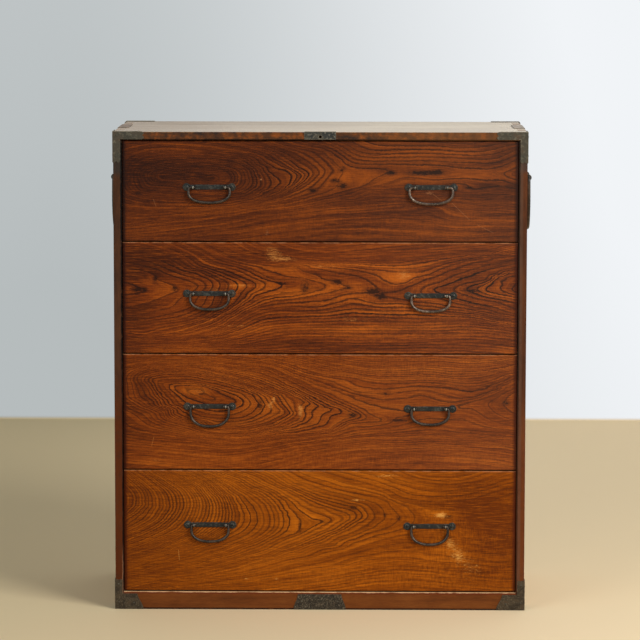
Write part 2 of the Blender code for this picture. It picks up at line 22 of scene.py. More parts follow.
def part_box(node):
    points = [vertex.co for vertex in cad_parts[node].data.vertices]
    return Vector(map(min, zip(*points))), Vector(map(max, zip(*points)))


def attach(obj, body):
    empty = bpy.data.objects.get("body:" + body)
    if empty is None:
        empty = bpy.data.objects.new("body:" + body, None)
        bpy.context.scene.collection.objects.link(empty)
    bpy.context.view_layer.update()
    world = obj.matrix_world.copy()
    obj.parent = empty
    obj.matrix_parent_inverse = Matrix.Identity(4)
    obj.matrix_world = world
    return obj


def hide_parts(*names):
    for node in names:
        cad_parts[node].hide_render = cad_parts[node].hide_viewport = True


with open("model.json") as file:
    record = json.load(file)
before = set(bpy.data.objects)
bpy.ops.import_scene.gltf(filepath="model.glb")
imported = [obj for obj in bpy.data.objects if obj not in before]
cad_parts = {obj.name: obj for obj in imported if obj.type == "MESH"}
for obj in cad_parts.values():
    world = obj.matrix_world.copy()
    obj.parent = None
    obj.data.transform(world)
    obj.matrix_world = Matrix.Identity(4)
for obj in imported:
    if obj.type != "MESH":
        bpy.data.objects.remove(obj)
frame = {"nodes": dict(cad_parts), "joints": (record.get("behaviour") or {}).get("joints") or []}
nodes = frame["nodes"]
hinges = {joint["name"]: joint["pos_m"] for joint in frame["joints"] if "pos_m" in joint}
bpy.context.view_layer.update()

# %% [markdown]
# ## The camera
#
# The chest is seen from the front, a little from above and from far away, so its sides hardly show and
# its edges stay nearly parallel. A long lens gives that. The camera could be aimed with a tracking
# constraint, but three turns about known axes keep its small roll as well.

# %% Camera
CAMERA_PLACE = (0.0926, -7.2348, 1.4582)
PITCH_DOWN = math.radians(6.591)
YAW_LEFT = math.radians(0.756)
ROLL = math.radians(0.074)
SENSOR = 36.0
FOCAL_IN_PIXELS = 3216.0
PICTURE_WIDTH = 640.0


def put_in_scene(name, data):
    """Makes an object of a camera, a lamp or a mesh and links it to the scene."""
    obj = bpy.data.objects.new(name, data)
    bpy.context.scene.collection.objects.link(obj)
    return obj


camera = put_in_scene("camera", bpy.data.cameras.new("camera"))
camera.data.sensor_width = SENSOR
camera.data.lens = FOCAL_IN_PIXELS / PICTURE_WIDTH * SENSOR
camera.matrix_world = (Matrix.Translation(CAMERA_PLACE)
                       @ Matrix.Rotation(YAW_LEFT, 4, "Z")
                       @ Matrix.Rotation(math.pi / 2 - PITCH_DOWN, 4, "X")
                       @ Matrix.Rotation(ROLL, 4, "Z"))
bpy.context.scene.camera = camera
bpy.context.scene.view_settings.view_transform = "Standard"
print("lens in millimetres:", round(camera.data.lens, 1))

# %% [markdown]
# ## Shader nodes as sums
#
# Wood and iron are both built from noise, ramps and mixes. Nodes could be placed by hand in the editor.
# Written as sums they stay short: each call below adds one node and gives its output, so a pattern reads
# like a formula.

# %% Node helpers
X, Y, Z = range(3)
EVEN = (1.0, 1.0, 1.0)
STILL = (0.0, 0.0, 0.0)


def srgb(red, green, blue):
    """A colour in 0 to 255 steps as a screen shows it, turned into the light values that shaders use."""
    values = np.array([red, green, blue]) / 255.0
    linear = np.where(values <= 0.04045, values / 12.92, ((values + 0.055) / 1.055) ** 2.4)
    return (*linear.tolist(), 1.0)


class Nodes:
    """One node tree. Each method adds a node to it and returns the node's output."""

    def __init__(self, tree):
        self.tree = tree

    def add(self, kind, **settings):
        """A bare node, for the methods below to join."""
        node = self.tree.nodes.new("ShaderNode" + kind)
        for key, value in settings.items():
            setattr(node, key, value)
        return node

    def feed(self, socket, value):
        """Joins an output to a socket, or writes a number or a screen colour of three steps on it."""
        if isinstance(value, bpy.types.NodeSocket):
            self.tree.links.new(value, socket)
        else:
            socket.default_value = srgb(*value) if isinstance(value, tuple) else value

    def joined(self, node, *values):
        """Feeds a node's sockets in order and returns its first output."""
        for socket, value in zip(node.inputs, values):
            self.feed(socket, value)
        return node.outputs[0]

    def math(self, operation, *values):
        """One operation on one or two values."""
        return self.joined(self.add("Math", operation=operation), *values)

    def folded(self, operation, values):
        """The first value joined with each further one in turn by the same operation."""
        return reduce(lambda total, value: self.math(operation, total, value), values)

    def sum(self, *values):
        """All values added up."""
        return self.folded("ADD", values)

    def times(self, *values):
        """All values multiplied."""
        return self.folded("MULTIPLY", values)

    def larger(self, *values):
        """The largest of some values."""
        return self.folded("MAXIMUM", values)

    def step(self, value, low, high, start=0.0, end=1.0):
        """Goes smoothly from start to end as the value goes from low to high."""
        node = self.add("MapRange", interpolation_type="SMOOTHSTEP")
        return self.joined(node, value, low, high, start, end)

    def mix(self, share, first, second):
        """A colour between two."""
        node = self.add("Mix", data_type="RGBA")
        self.feed(node.inputs["Factor"], share)
        self.feed(node.inputs[6], first)
        self.feed(node.inputs[7], second)
        return node.outputs[2]

    def blend(self, share, first, second):
        """A shader between two."""
        return self.joined(self.add("MixShader"), share, first, second)

    def seen(self):
        """1 for rays of the camera, of reflections and through glass, and 0 for rays that bring light."""
        rays = self.add("LightPath").outputs
        return self.larger(rays["Is Camera Ray"], rays["Is Glossy Ray"], rays["Is Transmission Ray"])

# %% [markdown]
# ## One finish
#
# Every wood and iron here is a material with the same few tools: noise that is long along the grain, ramps
# of colour, worn edges and bumps. Ready pictures would have to be fitted to each board. These patterns
# grow from the place on the object instead, so they fit any shape and never repeat.

# %% Finish
class Finish(Nodes):
    """One material. A shift moves its patterns, so that no two boards are alike."""

    def __init__(self, name, metallic=0.0, specular=0.5, shift=STILL):
        self.material = bpy.data.materials.new(name)
        self.material.use_nodes = True
        super().__init__(self.material.node_tree)
        self.shader = self.tree.nodes["Principled BSDF"]
        self.shader.inputs["Metallic"].default_value = metallic
        self.shader.inputs["Specular IOR Level"].default_value = specular
        self.place = self.add("TexCoord").outputs["Object"]
        self.shift = shift
        self.x, self.y, self.z = self.axes = self.parts(self.place)

    def parts(self, vector):
        """The three components of a vector."""
        node = self.add("SeparateXYZ")
        self.feed(node.inputs[0], vector)
        return tuple(node.outputs)

    def vector(self, *values):
        """A vector from three components."""
        return self.joined(self.add("CombineXYZ"), *values)

    def noise_at(self, where, detail=2.0, rough=0.5, warp=0.0):
        """Soft noise from 0 to 1 about 0.5, with one wave for each whole step of the place."""
        node = self.add("TexNoise")
        self.feed(node.inputs["Vector"], where)
        node.inputs["Scale"].default_value = 1.0
        node.inputs["Detail"].default_value = detail
        node.inputs["Roughness"].default_value = rough
        node.inputs["Distortion"].default_value = warp
        return node.outputs["Fac"]

    def noise(self, scales, times=1.0, shift=None, **kind):
        """Noise on the place, multiplied along X, Y and Z: it is long along the axis whose scale is small."""
        node = self.add("Mapping")
        self.feed(node.inputs["Vector"], self.place)
        node.inputs["Scale"].default_value = [times * scale for scale in scales]
        node.inputs["Location"].default_value = self.shift if shift is None else shift
        return self.noise_at(node.outputs[0], **kind)

    def cells(self, value):
        """A random number from 0 to 1 that is the same for equal values."""
        node = self.add("TexWhiteNoise", noise_dimensions="1D")
        self.feed(node.inputs["W"], value)
        return node.outputs["Value"]

    def ramp(self, value, places, colours):
        """Screen colours at places from 0 to 1, and straight mixes between them."""
        node = self.add("ValToRGB")
        elements = node.color_ramp.elements
        while len(elements) < len(places):
            elements.new(1.0)
        for element, place, colour in zip(elements, places, colours):
            element.position = place
            element.color = srgb(*colour)
        self.feed(node.inputs[0], value)
        return node.outputs[0]

    def attribute(self, name):
        """A number that is stored on each point of the mesh."""
        return self.add("Attribute", attribute_name=name).outputs["Fac"]

    def mark(self, start, end, width):
        """1 on a thin straight scratch between two places (x, z), 0 a width away from it and at its ends."""
        fade = 0.004
        (x0, z0), (x1, z1) = start, end
        length = math.hypot(x1 - x0, z1 - z0)
        ux, uz = (x1 - x0) / length, (z1 - z0) / length
        along = self.sum(self.times(self.x, ux), self.times(self.z, uz), -(x0 * ux + z0 * uz))
        off = self.sum(self.times(self.x, uz), self.times(self.z, -ux), z0 * ux - x0 * uz)
        inside = self.times(self.step(along, 0.0, fade), self.step(along, length, length - fade))
        return self.times(self.step(self.math("ABSOLUTE", off), width, 0.2 * width), inside)

    def rounded(self, radius):
        """The normal that the surface would have if its edges were rounded."""
        node = self.add("Bevel", samples=6)
        node.inputs["Radius"].default_value = radius
        return node.outputs[0]

    def edges(self, radius):
        """1 on edges, for wear and painted highlights, and 0 on flat faces: how far a rounded normal turns
        away from the true one.
        """
        product = self.add("VectorMath", operation="DOT_PRODUCT")
        self.feed(product.inputs[0], self.rounded(radius))
        self.feed(product.inputs[1], self.add("NewGeometry").outputs["Normal"])
        return self.step(product.outputs["Value"], 0.999, 0.75)

    def paint(self, colour, roughness, bumps=(), soft=0.0):
        """Joins a colour, a roughness and bumps, each (height in metres, value), to the shader.

        soft is the radius to which light sees the edges rounded.
        """
        self.feed(self.shader.inputs["Base Color"], colour)
        self.feed(self.shader.inputs["Roughness"], roughness)
        normal = self.rounded(soft) if soft else None
        for height, value in bumps:
            bump = self.add("Bump")
            bump.inputs["Distance"].default_value = height
            self.feed(bump.inputs["Height"], value)
            if normal is not None:
                self.feed(bump.inputs["Normal"], normal)
            normal = bump.outputs[0]
        if normal is not None:
            self.feed(self.shader.inputs["Normal"], normal)
        return self.material

# %% [markdown]
# ## Surfaces from grids
#
# Every new piece is a grid of points worked out as whole arrays: rows run along the piece and columns run
# round it. Boxes and cylinders with modifiers would come close, but a grid can follow any formula. The
# same helper joins the points with four-sided faces, closes the ends, turns the faces outwards, and hands
# the piece to the body that it rides on.

# %% Surface helpers
SHARP_EDGE = math.radians(35)
SAME_POINT = 2e-6


def skin(points, wrap=True, capped=True):
    """Faces over a grid: each joins point (row, column) to its three neighbours at row + 1 and column + 1.

    wrap joins the last column to the first, and capped closes the first and last rows with one face each.
    """
    rows, columns = points.shape[:2]
    index = np.arange(rows * columns).reshape(rows, columns)
    wide = np.concatenate([index, index[:, :1]], axis=1) if wrap else index
    quads = np.stack([wide[:-1, :-1], wide[1:, :-1], wide[1:, 1:], wide[:-1, 1:]], axis=-1)
    faces = quads.reshape(-1, 4).tolist()
    if capped:
        faces += [index[0].tolist(), index[-1][::-1].tolist()]
    return points.reshape(-1, 3), faces


def mesh_of(name, shells):
    """Joins shells of (points, faces) into one mesh."""
    offset, points, faces = 0, [], []
    for shell_points, shell_faces in shells:
        points.append(shell_points)
        faces += [[corner + offset for corner in face] for face in shell_faces]
        offset += len(shell_points)
    mesh = bpy.data.meshes.new(name)
    mesh.from_pydata(np.concatenate(points).tolist(), [], faces)
    mesh.shade_smooth()
    return mesh


def make_piece(name, shells, finish, body, replaces=()):
    """One piece from closed shells. Doubled points are merged and faces turned outwards."""
    mesh = mesh_of(name, shells)
    work = bmesh.new()
    work.from_mesh(mesh)
    bmesh.ops.remove_doubles(work, verts=work.verts, dist=SAME_POINT)
    bmesh.ops.dissolve_degenerate(work, edges=work.edges, dist=SAME_POINT / 2)
    bmesh.ops.recalc_face_normals(work, faces=work.faces)
    work.to_mesh(mesh)
    work.free()
    mesh.set_sharp_from_angle(angle=SHARP_EDGE)
    mesh.materials.append(finish)
    piece = put_in_scene(name, mesh)
    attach(piece, body)
    if replaces:
        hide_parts(*replaces)
    return piece


def places_of(mesh):
    """All points of a mesh as an array of x, y, z rows."""
    flat = np.empty(len(mesh.vertices) * 3, np.float32)
    mesh.vertices.foreach_get("co", flat)
    return flat.reshape(-1, 3)

# %% [markdown]
# ## The figure of the drawer fronts
#
# A growth ring is a shell round the heart of the trunk. Where a board is cut along the trunk, the rings
# show as arches and pointed ovals. A wave texture bent by noise gives lines that are all alike. Here a
# few rings of each board are drawn, each with its count from the heart, and a thin sheet is bent
# through them: its height at any point of the board is the ring count there. The bent sheet's formula is
# a sum over all drawn points of
#
#     weight * distance ** 2 * log(distance)
#
# and a slope, with weights that make the sheet pass by every drawn point.

# %% Drawn rings
FRONT_HALF = 0.4335
DRAWN = 1 / 1800  # drawn points count in steps of 1/1800 m from a front's upper left corner
STEP_ALONG, STEP_DOWN = 300, 100  # the sheet is three times as stiff along the grain as across it

# Each row is a ring's count and its points: across, down, across, down and so on
RINGS = {
    1: [(0.5, 330, 148, 260, 140),
        (3, 430, 150, 400, 118, 300, 108, 190, 115, 175, 150, 260, 172, 380, 178),
        (5, 457, 150, 430, 112, 350, 96, 230, 98, 140, 115, 117, 147, 133, 160, 200, 166, 300, 186, 400,
         188),
        (8, 500, 150, 480, 112, 420, 88, 300, 80, 180, 84, 100, 105, 70, 132, 83, 156, 97, 177, 127, 184,
         200, 188, 300, 202, 420, 202, 480, 186),
        (10, 530, 152, 512, 112, 450, 78, 300, 66, 170, 68, 80, 88, 47, 125, 50, 160, 70, 190, 130, 202,
         300, 218, 440, 212),
        (12, 563, 165, 545, 120, 500, 80, 400, 58, 200, 48, 90, 58, 30, 95, 20, 140, 30, 180, 60, 205, 200,
         228, 400, 232, 480, 222, 525, 204),
        (13, 584, 170, 582, 150, 572, 130, 558, 112, 520, 80, 440, 234, 500, 223, 540, 208, 570, 190),
        (14, 622, 162, 616, 150, 596, 134, 572, 115, 540, 88, 612, 172, 600, 182, 580, 194, 555, 205, 500,
         229, 440, 240),
        (16, 689, 143, 685, 128, 660, 113, 630, 102, 600, 84, 560, 62, 678, 160, 665, 175, 645, 190, 620,
         202, 590, 214, 520, 236, 440, 249),
        (18, 720, 137, 707, 122, 677, 109, 653, 92, 620, 70, 710, 153, 693, 167, 670, 180, 647, 193, 620,
         208, 580, 223, 500, 244),
        (20, 753, 127, 745, 114, 720, 97, 700, 84, 670, 64, 743, 143, 727, 160, 707, 174, 687, 187, 653,
         203, 620, 217, 560, 234, 460, 256),
        (22, 797, 120, 790, 107, 777, 95, 757, 78, 720, 54, 787, 140, 773, 157, 753, 176, 733, 188, 700,
         204, 650, 222, 580, 239, 480, 260),
        (23, 828, 120, 822, 105, 808, 88, 785, 68, 750, 46, 813, 137, 803, 152, 790, 170, 765, 190, 740,
         206, 690, 222, 560, 249, 400, 276),
        (24, 864, 115, 850, 97, 833, 82, 805, 60, 760, 38, 850, 150, 845, 175, 820, 195, 780, 209, 720, 227,
         640, 243, 450, 274, 200, 300, 20, 318),
        (25, 1040, 116, 1000, 110, 920, 106, 897, 99, 867, 74, 830, 50, 780, 30, 700, 12, 960, 166, 930,
         180, 880, 196, 820, 212, 740, 230, 640, 250, 450, 280, 200, 308, 20, 330, 1504, 128, 1520, 116,
         1545, 106, 1520, 138, 1545, 146),
        (26, 850, 48, 885, 72, 920, 88, 1000, 93, 1100, 93, 1200, 93, 1270, 98, 1320, 106, 1407, 108, 1450,
         108, 1487, 100, 1517, 90, 1550, 72, 1110, 142, 1250, 148, 1313, 147, 1373, 147, 1450, 150, 1507,
         152, 1545, 166),
        (27, 905, 66, 1000, 80, 1100, 78, 1200, 78, 1300, 84, 1400, 88, 1480, 82, 1550, 55, 960, 195, 1060,
         184, 1200, 184, 1310, 166, 1353, 170, 1367, 183, 1387, 187, 1417, 182, 1507, 176, 1550, 184),
        (28, 900, 48, 1000, 66, 1100, 62, 1200, 63, 1300, 68, 1400, 72, 1480, 66, 1550, 38, 930, 222, 1050,
         206, 1200, 206, 1400, 210, 1550, 212),
        (30, 1000, 36, 1100, 34, 1200, 35, 1300, 40, 1400, 42, 1550, 12, 800, 262, 1000, 240, 1200, 238,
         1400, 243, 1550, 248, 500, 300, 200, 340),
        (33, 900, 285, 1100, 272, 1220, 262, 1267, 287, 1350, 300, 1550, 300, 500, 335, 200, 372),
        (37, 100, 397, 700, 352, 1100, 340, 1550, 350),
        (40, 700, 392, 1100, 385, 1550, 390)],
    2: [(6, 90, 190, 65, 184, 30, 168, 0, 160, 60, 198, 0, 207),
        (7, 213, 192, 210, 183, 187, 170, 160, 160, 133, 148, 121, 130, 95, 118, 50, 108, 0, 100, 187, 203,
         147, 220, 100, 240, 50, 250, 0, 255),
        (8, 297, 176, 290, 169, 247, 153, 213, 140, 177, 127, 130, 108, 60, 90, 0, 80, 285, 190, 260, 205,
         235, 217, 215, 232, 200, 250, 140, 270, 80, 282, 0, 290),
        (9, 325, 168, 300, 150, 250, 136, 210, 120, 150, 98, 318, 190, 300, 215, 287, 240, 265, 260, 220,
         278, 150, 292, 60, 305),
        (11, 380, 165, 360, 145, 300, 117, 240, 98, 375, 190, 362, 215, 352, 240, 330, 262, 280, 287, 200,
         308, 100, 322),
        (13, 450, 168, 430, 152, 400, 139, 350, 118, 300, 102, 447, 190, 430, 215, 412, 240, 385, 265, 340,
         290, 260, 318, 150, 338, 40, 352),
        (15, 522, 166, 500, 152, 450, 132, 393, 110, 330, 92, 508, 190, 482, 218, 452, 243, 420, 266, 370,
         294, 300, 324, 200, 350, 80, 372),
        (17, 623, 173, 600, 162, 570, 151, 540, 138, 500, 118, 450, 100, 600, 186, 560, 198, 520, 215, 483,
         240, 450, 263, 400, 292),
        (18, 730, 170, 722, 152, 710, 147, 650, 149, 617, 151, 587, 146, 560, 132, 520, 114, 470, 96, 718,
         190, 690, 194, 650, 198, 600, 207, 550, 222, 500, 245, 450, 275),
        (19, 795, 172, 760, 157, 730, 147, 700, 142, 650, 136, 620, 127, 600, 120, 570, 112, 520, 98, 765,
         189, 720, 203, 680, 210, 600, 219, 550, 234, 500, 257),
        (20, 893, 178, 870, 170, 850, 158, 827, 150, 800, 147, 773, 133, 737, 120, 700, 107, 650, 96, 853,
         187, 820, 197, 787, 203, 720, 217, 680, 223, 600, 232, 550, 246, 480, 274, 1185, 184, 1250, 157,
         1300, 134, 1350, 117, 1400, 101, 1450, 88, 1540, 70, 1240, 216, 1320, 240, 1400, 255, 1500, 278,
         1560, 290),
        (21, 1003, 190, 1000, 177, 970, 153, 950, 142, 900, 131, 850, 123, 800, 112, 740, 101, 680, 86, 950,
         197, 900, 201, 850, 213, 800, 229, 750, 233, 680, 237, 600, 244, 540, 258, 1060, 197, 1107, 187,
         1127, 178, 1200, 146, 1250, 131, 1300, 110, 1350, 93, 1400, 80, 1450, 70, 1540, 55, 1060, 216,
         1150, 232, 1300, 252, 1400, 268),
        (22, 1073, 166, 1040, 153, 1027, 146, 1007, 134, 980, 126, 940, 116, 900, 110, 850, 104, 800, 96,
         740, 86, 1120, 160, 1180, 134, 1250, 108, 1350, 76, 1450, 52, 1100, 240, 1000, 240, 950, 230, 920,
         222, 895, 223, 860, 233, 820, 241, 787, 252, 740, 254, 680, 251, 600, 258, 540, 272),
        (23, 850, 95, 900, 98, 1000, 110, 1060, 114, 1120, 118, 1180, 115, 1230, 98, 1300, 78, 1400, 57,
         1540, 36, 600, 270, 700, 267, 787, 266, 850, 254, 900, 242, 950, 245, 1000, 254, 1120, 256, 1250,
         266, 1400, 282),
        (25, 700, 74, 800, 82, 900, 86, 1000, 92, 1100, 92, 1200, 78, 1300, 60, 1450, 40, 600, 297, 800,
         290, 900, 278, 1000, 282, 1200, 288, 1400, 298),
        (29, 600, 30, 1000, 46, 1300, 22, 600, 345, 900, 335, 1200, 338, 1500, 344),
        (33, 600, 395, 1000, 385, 1500, 392, 100, 420),
        (37, 600, 438, 1500, 440),
        (17, 1363, 185, 1390, 168, 1423, 159, 1455, 147, 1490, 125, 1540, 108, 1400, 202, 1480, 222, 1550,
         236),
        (19, 1235, 184, 1300, 160, 1350, 140, 1400, 123, 1450, 107, 1530, 88),
        (15, 1440, 190, 1453, 170, 1473, 150, 1493, 133, 1525, 120),
        (14, 1498, 185, 1503, 167, 1517, 147, 1540, 132),
        (13, 1545, 188),
        (12, 200, 60),
        (18, 300, 30)],
    3: [(0.6, 320, 171),
        (1, 277, 163, 303, 161, 343, 167, 362, 178, 343, 183, 310, 175),
        (2, 207, 134, 217, 128, 247, 128, 283, 129, 313, 128, 337, 137, 363, 147, 383, 160, 417, 173, 440,
         190, 400, 203, 340, 200, 300, 190, 267, 177, 233, 160, 213, 147),
        (4, 157, 120, 180, 115, 233, 112, 300, 115, 333, 122, 377, 133, 400, 140, 433, 150, 467, 160, 483,
         173, 500, 192, 490, 213, 467, 230, 420, 243, 350, 240, 270, 220, 233, 203, 213, 187, 197, 167, 182,
         150, 167, 133),
        (6, 527, 160, 547, 180, 560, 200, 552, 220, 537, 240, 490, 260, 400, 268, 320, 258, 250, 235, 213,
         212, 177, 187, 157, 167, 137, 143, 127, 123, 116, 102, 150, 92, 220, 92, 300, 95, 360, 105, 420,
         122, 480, 142),
        (8, 583, 178, 597, 202, 617, 222, 600, 240, 560, 260, 500, 278, 420, 288, 340, 282, 260, 260, 200,
         235, 155, 205, 133, 170, 117, 143, 103, 123, 88, 100, 120, 82, 200, 76, 300, 80, 380, 96, 450, 120,
         520, 146),
        (10, 658, 234, 643, 210, 623, 187, 608, 167, 560, 145, 500, 122, 430, 100, 353, 82, 260, 66, 150,
         62, 70, 82, 57, 102, 70, 123, 80, 143, 93, 167, 120, 192, 180, 225, 300, 275, 400, 303, 500, 298,
         580, 276, 630, 256),
        (12, 683, 225, 682, 205, 676, 192, 650, 172, 600, 149, 540, 122, 460, 95, 30, 95, 37, 120, 40, 150,
         52, 178, 90, 205, 160, 238, 300, 294, 677, 252, 650, 268, 600, 288, 520, 310),
        (14, 733, 188, 727, 207, 720, 227, 720, 250, 710, 266, 660, 284, 580, 303, 700, 170, 660, 150, 600,
         127, 540, 105, 480, 86, 0, 160, 30, 190, 100, 225, 300, 310),
        (15, 770, 203, 760, 217, 747, 233, 747, 250, 733, 264, 707, 277, 650, 293, 740, 186, 700, 164, 640,
         137, 580, 112, 520, 90),
        (16, 820, 217, 807, 230, 787, 243, 780, 260, 767, 276, 740, 286, 680, 299, 780, 197, 740, 177, 690,
         151, 640, 127, 590, 105),
        (17, 862, 229, 840, 240, 820, 250, 810, 267, 797, 281, 765, 290, 700, 304, 820, 207, 780, 187, 730,
         162, 680, 135, 620, 108, 560, 84),
        (18, 922, 242, 887, 256, 863, 267, 840, 280, 822, 294, 780, 304, 700, 316, 897, 227, 860, 210, 820,
         193, 770, 170, 720, 147, 670, 122, 620, 98, 560, 72),
        (21, 1022, 261, 1000, 266, 950, 268, 900, 276, 873, 291, 830, 306, 740, 324, 1000, 250, 970, 233,
         950, 217, 927, 207, 893, 193, 850, 175, 800, 152, 750, 130, 700, 106, 640, 80),
        (22, 1136, 237, 1117, 228, 1080, 222, 1040, 216, 1000, 205, 950, 188, 900, 167, 850, 148, 800, 130,
         1107, 247, 1080, 252, 1067, 264, 1030, 277, 950, 285, 900, 292, 850, 306, 1338, 204, 1380, 213,
         1407, 227, 1433, 243, 1460, 260, 1500, 272, 1550, 280, 1380, 190, 1420, 180, 1460, 165, 1500, 146,
         1545, 124),
        (23, 950, 166, 1000, 177, 1040, 181, 1090, 180, 1137, 173, 1173, 166, 1207, 169, 1227, 175, 1260,
         186, 1310, 190, 1360, 181, 1400, 172, 1440, 158, 1500, 130, 1550, 105, 1200, 255, 1150, 268, 1060,
         288, 960, 298, 860, 320, 1300, 258, 1340, 255, 1400, 275, 1480, 292, 1550, 298),
        (24, 800, 100, 827, 108, 853, 120, 887, 133, 913, 146, 950, 153, 1000, 158, 1040, 160, 1090, 155,
         1140, 147, 1200, 143, 1240, 153, 1273, 163, 1307, 170, 1350, 172, 1400, 166, 1440, 152, 1487, 135,
         1545, 100, 1100, 298, 1200, 284, 1325, 292, 1400, 300, 1550, 315),
        (25, 870, 100, 920, 120, 980, 135, 1040, 139, 1200, 128, 1273, 133, 1320, 140, 1357, 147, 1407, 143,
         1450, 130, 1487, 113, 1530, 92),
        (26, 930, 98, 1000, 113, 1100, 115, 1200, 112, 1350, 127, 1400, 127, 1433, 120, 1467, 110, 1507,
         96),
        (30, 900, 66, 1000, 78, 1200, 78, 1400, 86, 1540, 55, 900, 360, 1200, 345, 1500, 355),
        (36, 900, 20, 1200, 25, 1500, 25, 900, 425, 1500, 420),
        (20, 100, 20, 400, 35, 0, 300, 300, 345, 600, 335),
        (26, 500, 10, 0, 380, 400, 410),
        (32, 0, 450, 500, 462)],
    4: [(3, 25, 75, 40, 95, 45, 120, 37, 150, 13, 175),
        (6, 50, 60, 77, 93, 80, 123, 67, 157, 43, 180, 13, 197),
        (8, 17, 18, 73, 57, 100, 87, 112, 117, 108, 150, 90, 180, 67, 200, 17, 227),
        (13, 60, 12, 120, 50, 160, 85, 178, 118, 178, 150, 162, 182, 130, 212, 80, 240, 15, 267),
        (18, 120, 15, 200, 60, 232, 90, 245, 118, 246, 150, 232, 187, 200, 220, 150, 253, 100, 277, 50, 297,
         5, 312),
        (24, 180, 10, 250, 50, 300, 90, 320, 125, 325, 160, 315, 195, 290, 225, 240, 260, 170, 293, 100,
         320, 10, 347),
        (30, 240, 8, 317, 47, 350, 73, 380, 103, 397, 133, 403, 168, 398, 205, 375, 235, 330, 265, 260, 297,
         180, 327, 100, 350, 10, 372),
        (34, 300, 15, 350, 45, 405, 90, 435, 125, 450, 158, 457, 190, 448, 217, 430, 235, 397, 255, 353,
         277, 300, 297, 250, 317, 200, 335, 100, 366, 30, 386),
        (37, 300, 2, 390, 50, 440, 82, 485, 115, 510, 142, 525, 172, 530, 203, 520, 230, 495, 252, 450, 276,
         380, 308, 280, 342, 180, 372, 60, 405),
        (40, 370, 20, 430, 48, 500, 84, 550, 112, 580, 140, 593, 167, 599, 200, 593, 230, 563, 258, 530,
         277, 450, 308, 350, 342, 200, 385, 60, 420),
        (42, 603, 132, 617, 150, 630, 177, 635, 207, 630, 230, 610, 248, 587, 266, 550, 286, 480, 316, 570,
         104, 510, 72, 440, 38),
        (43, 623, 132, 637, 157, 648, 180, 656, 207, 650, 230, 633, 249, 617, 261, 587, 279, 540, 302, 460,
         334, 350, 366, 200, 404, 60, 434, 590, 103, 530, 70, 450, 32),
        (44, 702, 212, 700, 200, 683, 177, 668, 162, 655, 146, 640, 122, 600, 94, 540, 62, 470, 30, 695,
         240, 680, 252, 640, 268, 600, 288, 540, 314, 440, 348),
        (45, 784, 207, 753, 197, 727, 183, 700, 163, 680, 141, 655, 120, 620, 96, 560, 62, 500, 34, 760,
         220, 733, 237, 713, 248, 680, 262, 650, 274, 600, 298, 540, 324),
        (46, 824, 197, 810, 187, 787, 177, 753, 167, 727, 152, 700, 138, 670, 115, 640, 96, 600, 73, 540,
         44, 813, 210, 787, 221, 753, 240, 720, 258, 690, 272, 640, 293, 580, 320),
        (47, 866, 193, 853, 182, 827, 170, 797, 154, 753, 143, 720, 125, 690, 106, 650, 84, 600, 60, 550,
         36, 853, 204, 837, 212, 820, 227, 800, 240, 753, 260, 700, 284, 640, 306, 560, 338, 400, 385, 200,
         425),
        (49, 923, 183, 915, 170, 890, 157, 840, 145, 790, 128, 740, 108, 700, 90, 650, 68, 910, 200, 880,
         220, 850, 240, 800, 262, 740, 286, 660, 316),
        (51, 971, 180, 962, 163, 950, 150, 930, 140, 880, 127, 820, 112, 770, 98, 720, 80, 660, 55, 957,
         197, 930, 211, 903, 230, 870, 247, 830, 267, 740, 302, 650, 334, 500, 380, 300, 430),
        (52, 996, 178, 987, 157, 970, 143, 948, 132, 900, 120, 840, 104, 780, 88, 700, 60, 990, 200, 970,
         217, 933, 238, 890, 258, 800, 296, 700, 330),
        (53, 1038, 180, 1030, 155, 1010, 138, 985, 127, 930, 112, 870, 98, 800, 80, 720, 54, 1030, 200,
         1013, 213, 970, 237, 930, 256, 830, 300, 700, 343, 500, 396),
        (54, 1096, 187, 1080, 163, 1060, 146, 1040, 124, 1010, 112, 960, 100, 900, 90, 820, 70, 740, 46,
         1082, 207, 1060, 224, 1010, 240, 960, 257, 880, 286, 780, 322, 650, 362),
        (55, 1157, 192, 1154, 178, 1140, 160, 1120, 144, 1100, 137, 1070, 122, 1040, 106, 1000, 92, 920, 76,
         820, 50, 1145, 215, 1120, 228, 1080, 240, 1040, 251, 980, 270, 900, 298, 780, 338, 600, 386, 400,
         430),
        (56, 1545, 90, 1500, 108, 1450, 132, 1400, 150, 1350, 155, 1300, 158, 1247, 160, 1227, 153, 1200,
         143, 1150, 133, 1103, 124, 1060, 106, 1000, 80, 900, 55, 800, 25, 1253, 240, 1200, 241, 1153, 247,
         1100, 260, 1040, 274, 980, 291, 800, 350, 600, 400, 1307, 243, 1340, 247, 1356, 265, 1420, 276,
         1540, 285),
        (55.6, 1400, 205, 1540, 190),
        (60, 1000, 4, 1040, 13, 1073, 27, 1107, 40, 1160, 52, 1253, 66, 1317, 67, 1373, 62, 1440, 45, 1540,
         12, 520, 463, 600, 444, 700, 430, 800, 417, 900, 397, 950, 382, 1040, 370, 1100, 367, 1150, 370,
         1240, 380, 1350, 392, 1550, 400, 200, 483),
        (64, 1200, 12, 1350, 8, 700, 483, 900, 450, 1000, 434, 1100, 426, 1250, 434, 1550, 455)],
}


def drawn_points(number):
    """All drawn points of a board as across, down and count."""
    rows = [(line[k], line[k + 1], line[0]) for line in RINGS[number] for k in range(1, len(line), 2)]
    return np.array(rows, float).T


def sheet_terms(across, down, at):
    """Distance ** 2 * log(distance) to each drawn point, where a step along the grain counts a third."""
    squares = ((across[:, None] - at[0]) / STEP_ALONG) ** 2 + ((down[:, None] - at[1]) / STEP_DOWN) ** 2
    return 0.5 * squares * np.log(squares + 1e-12)


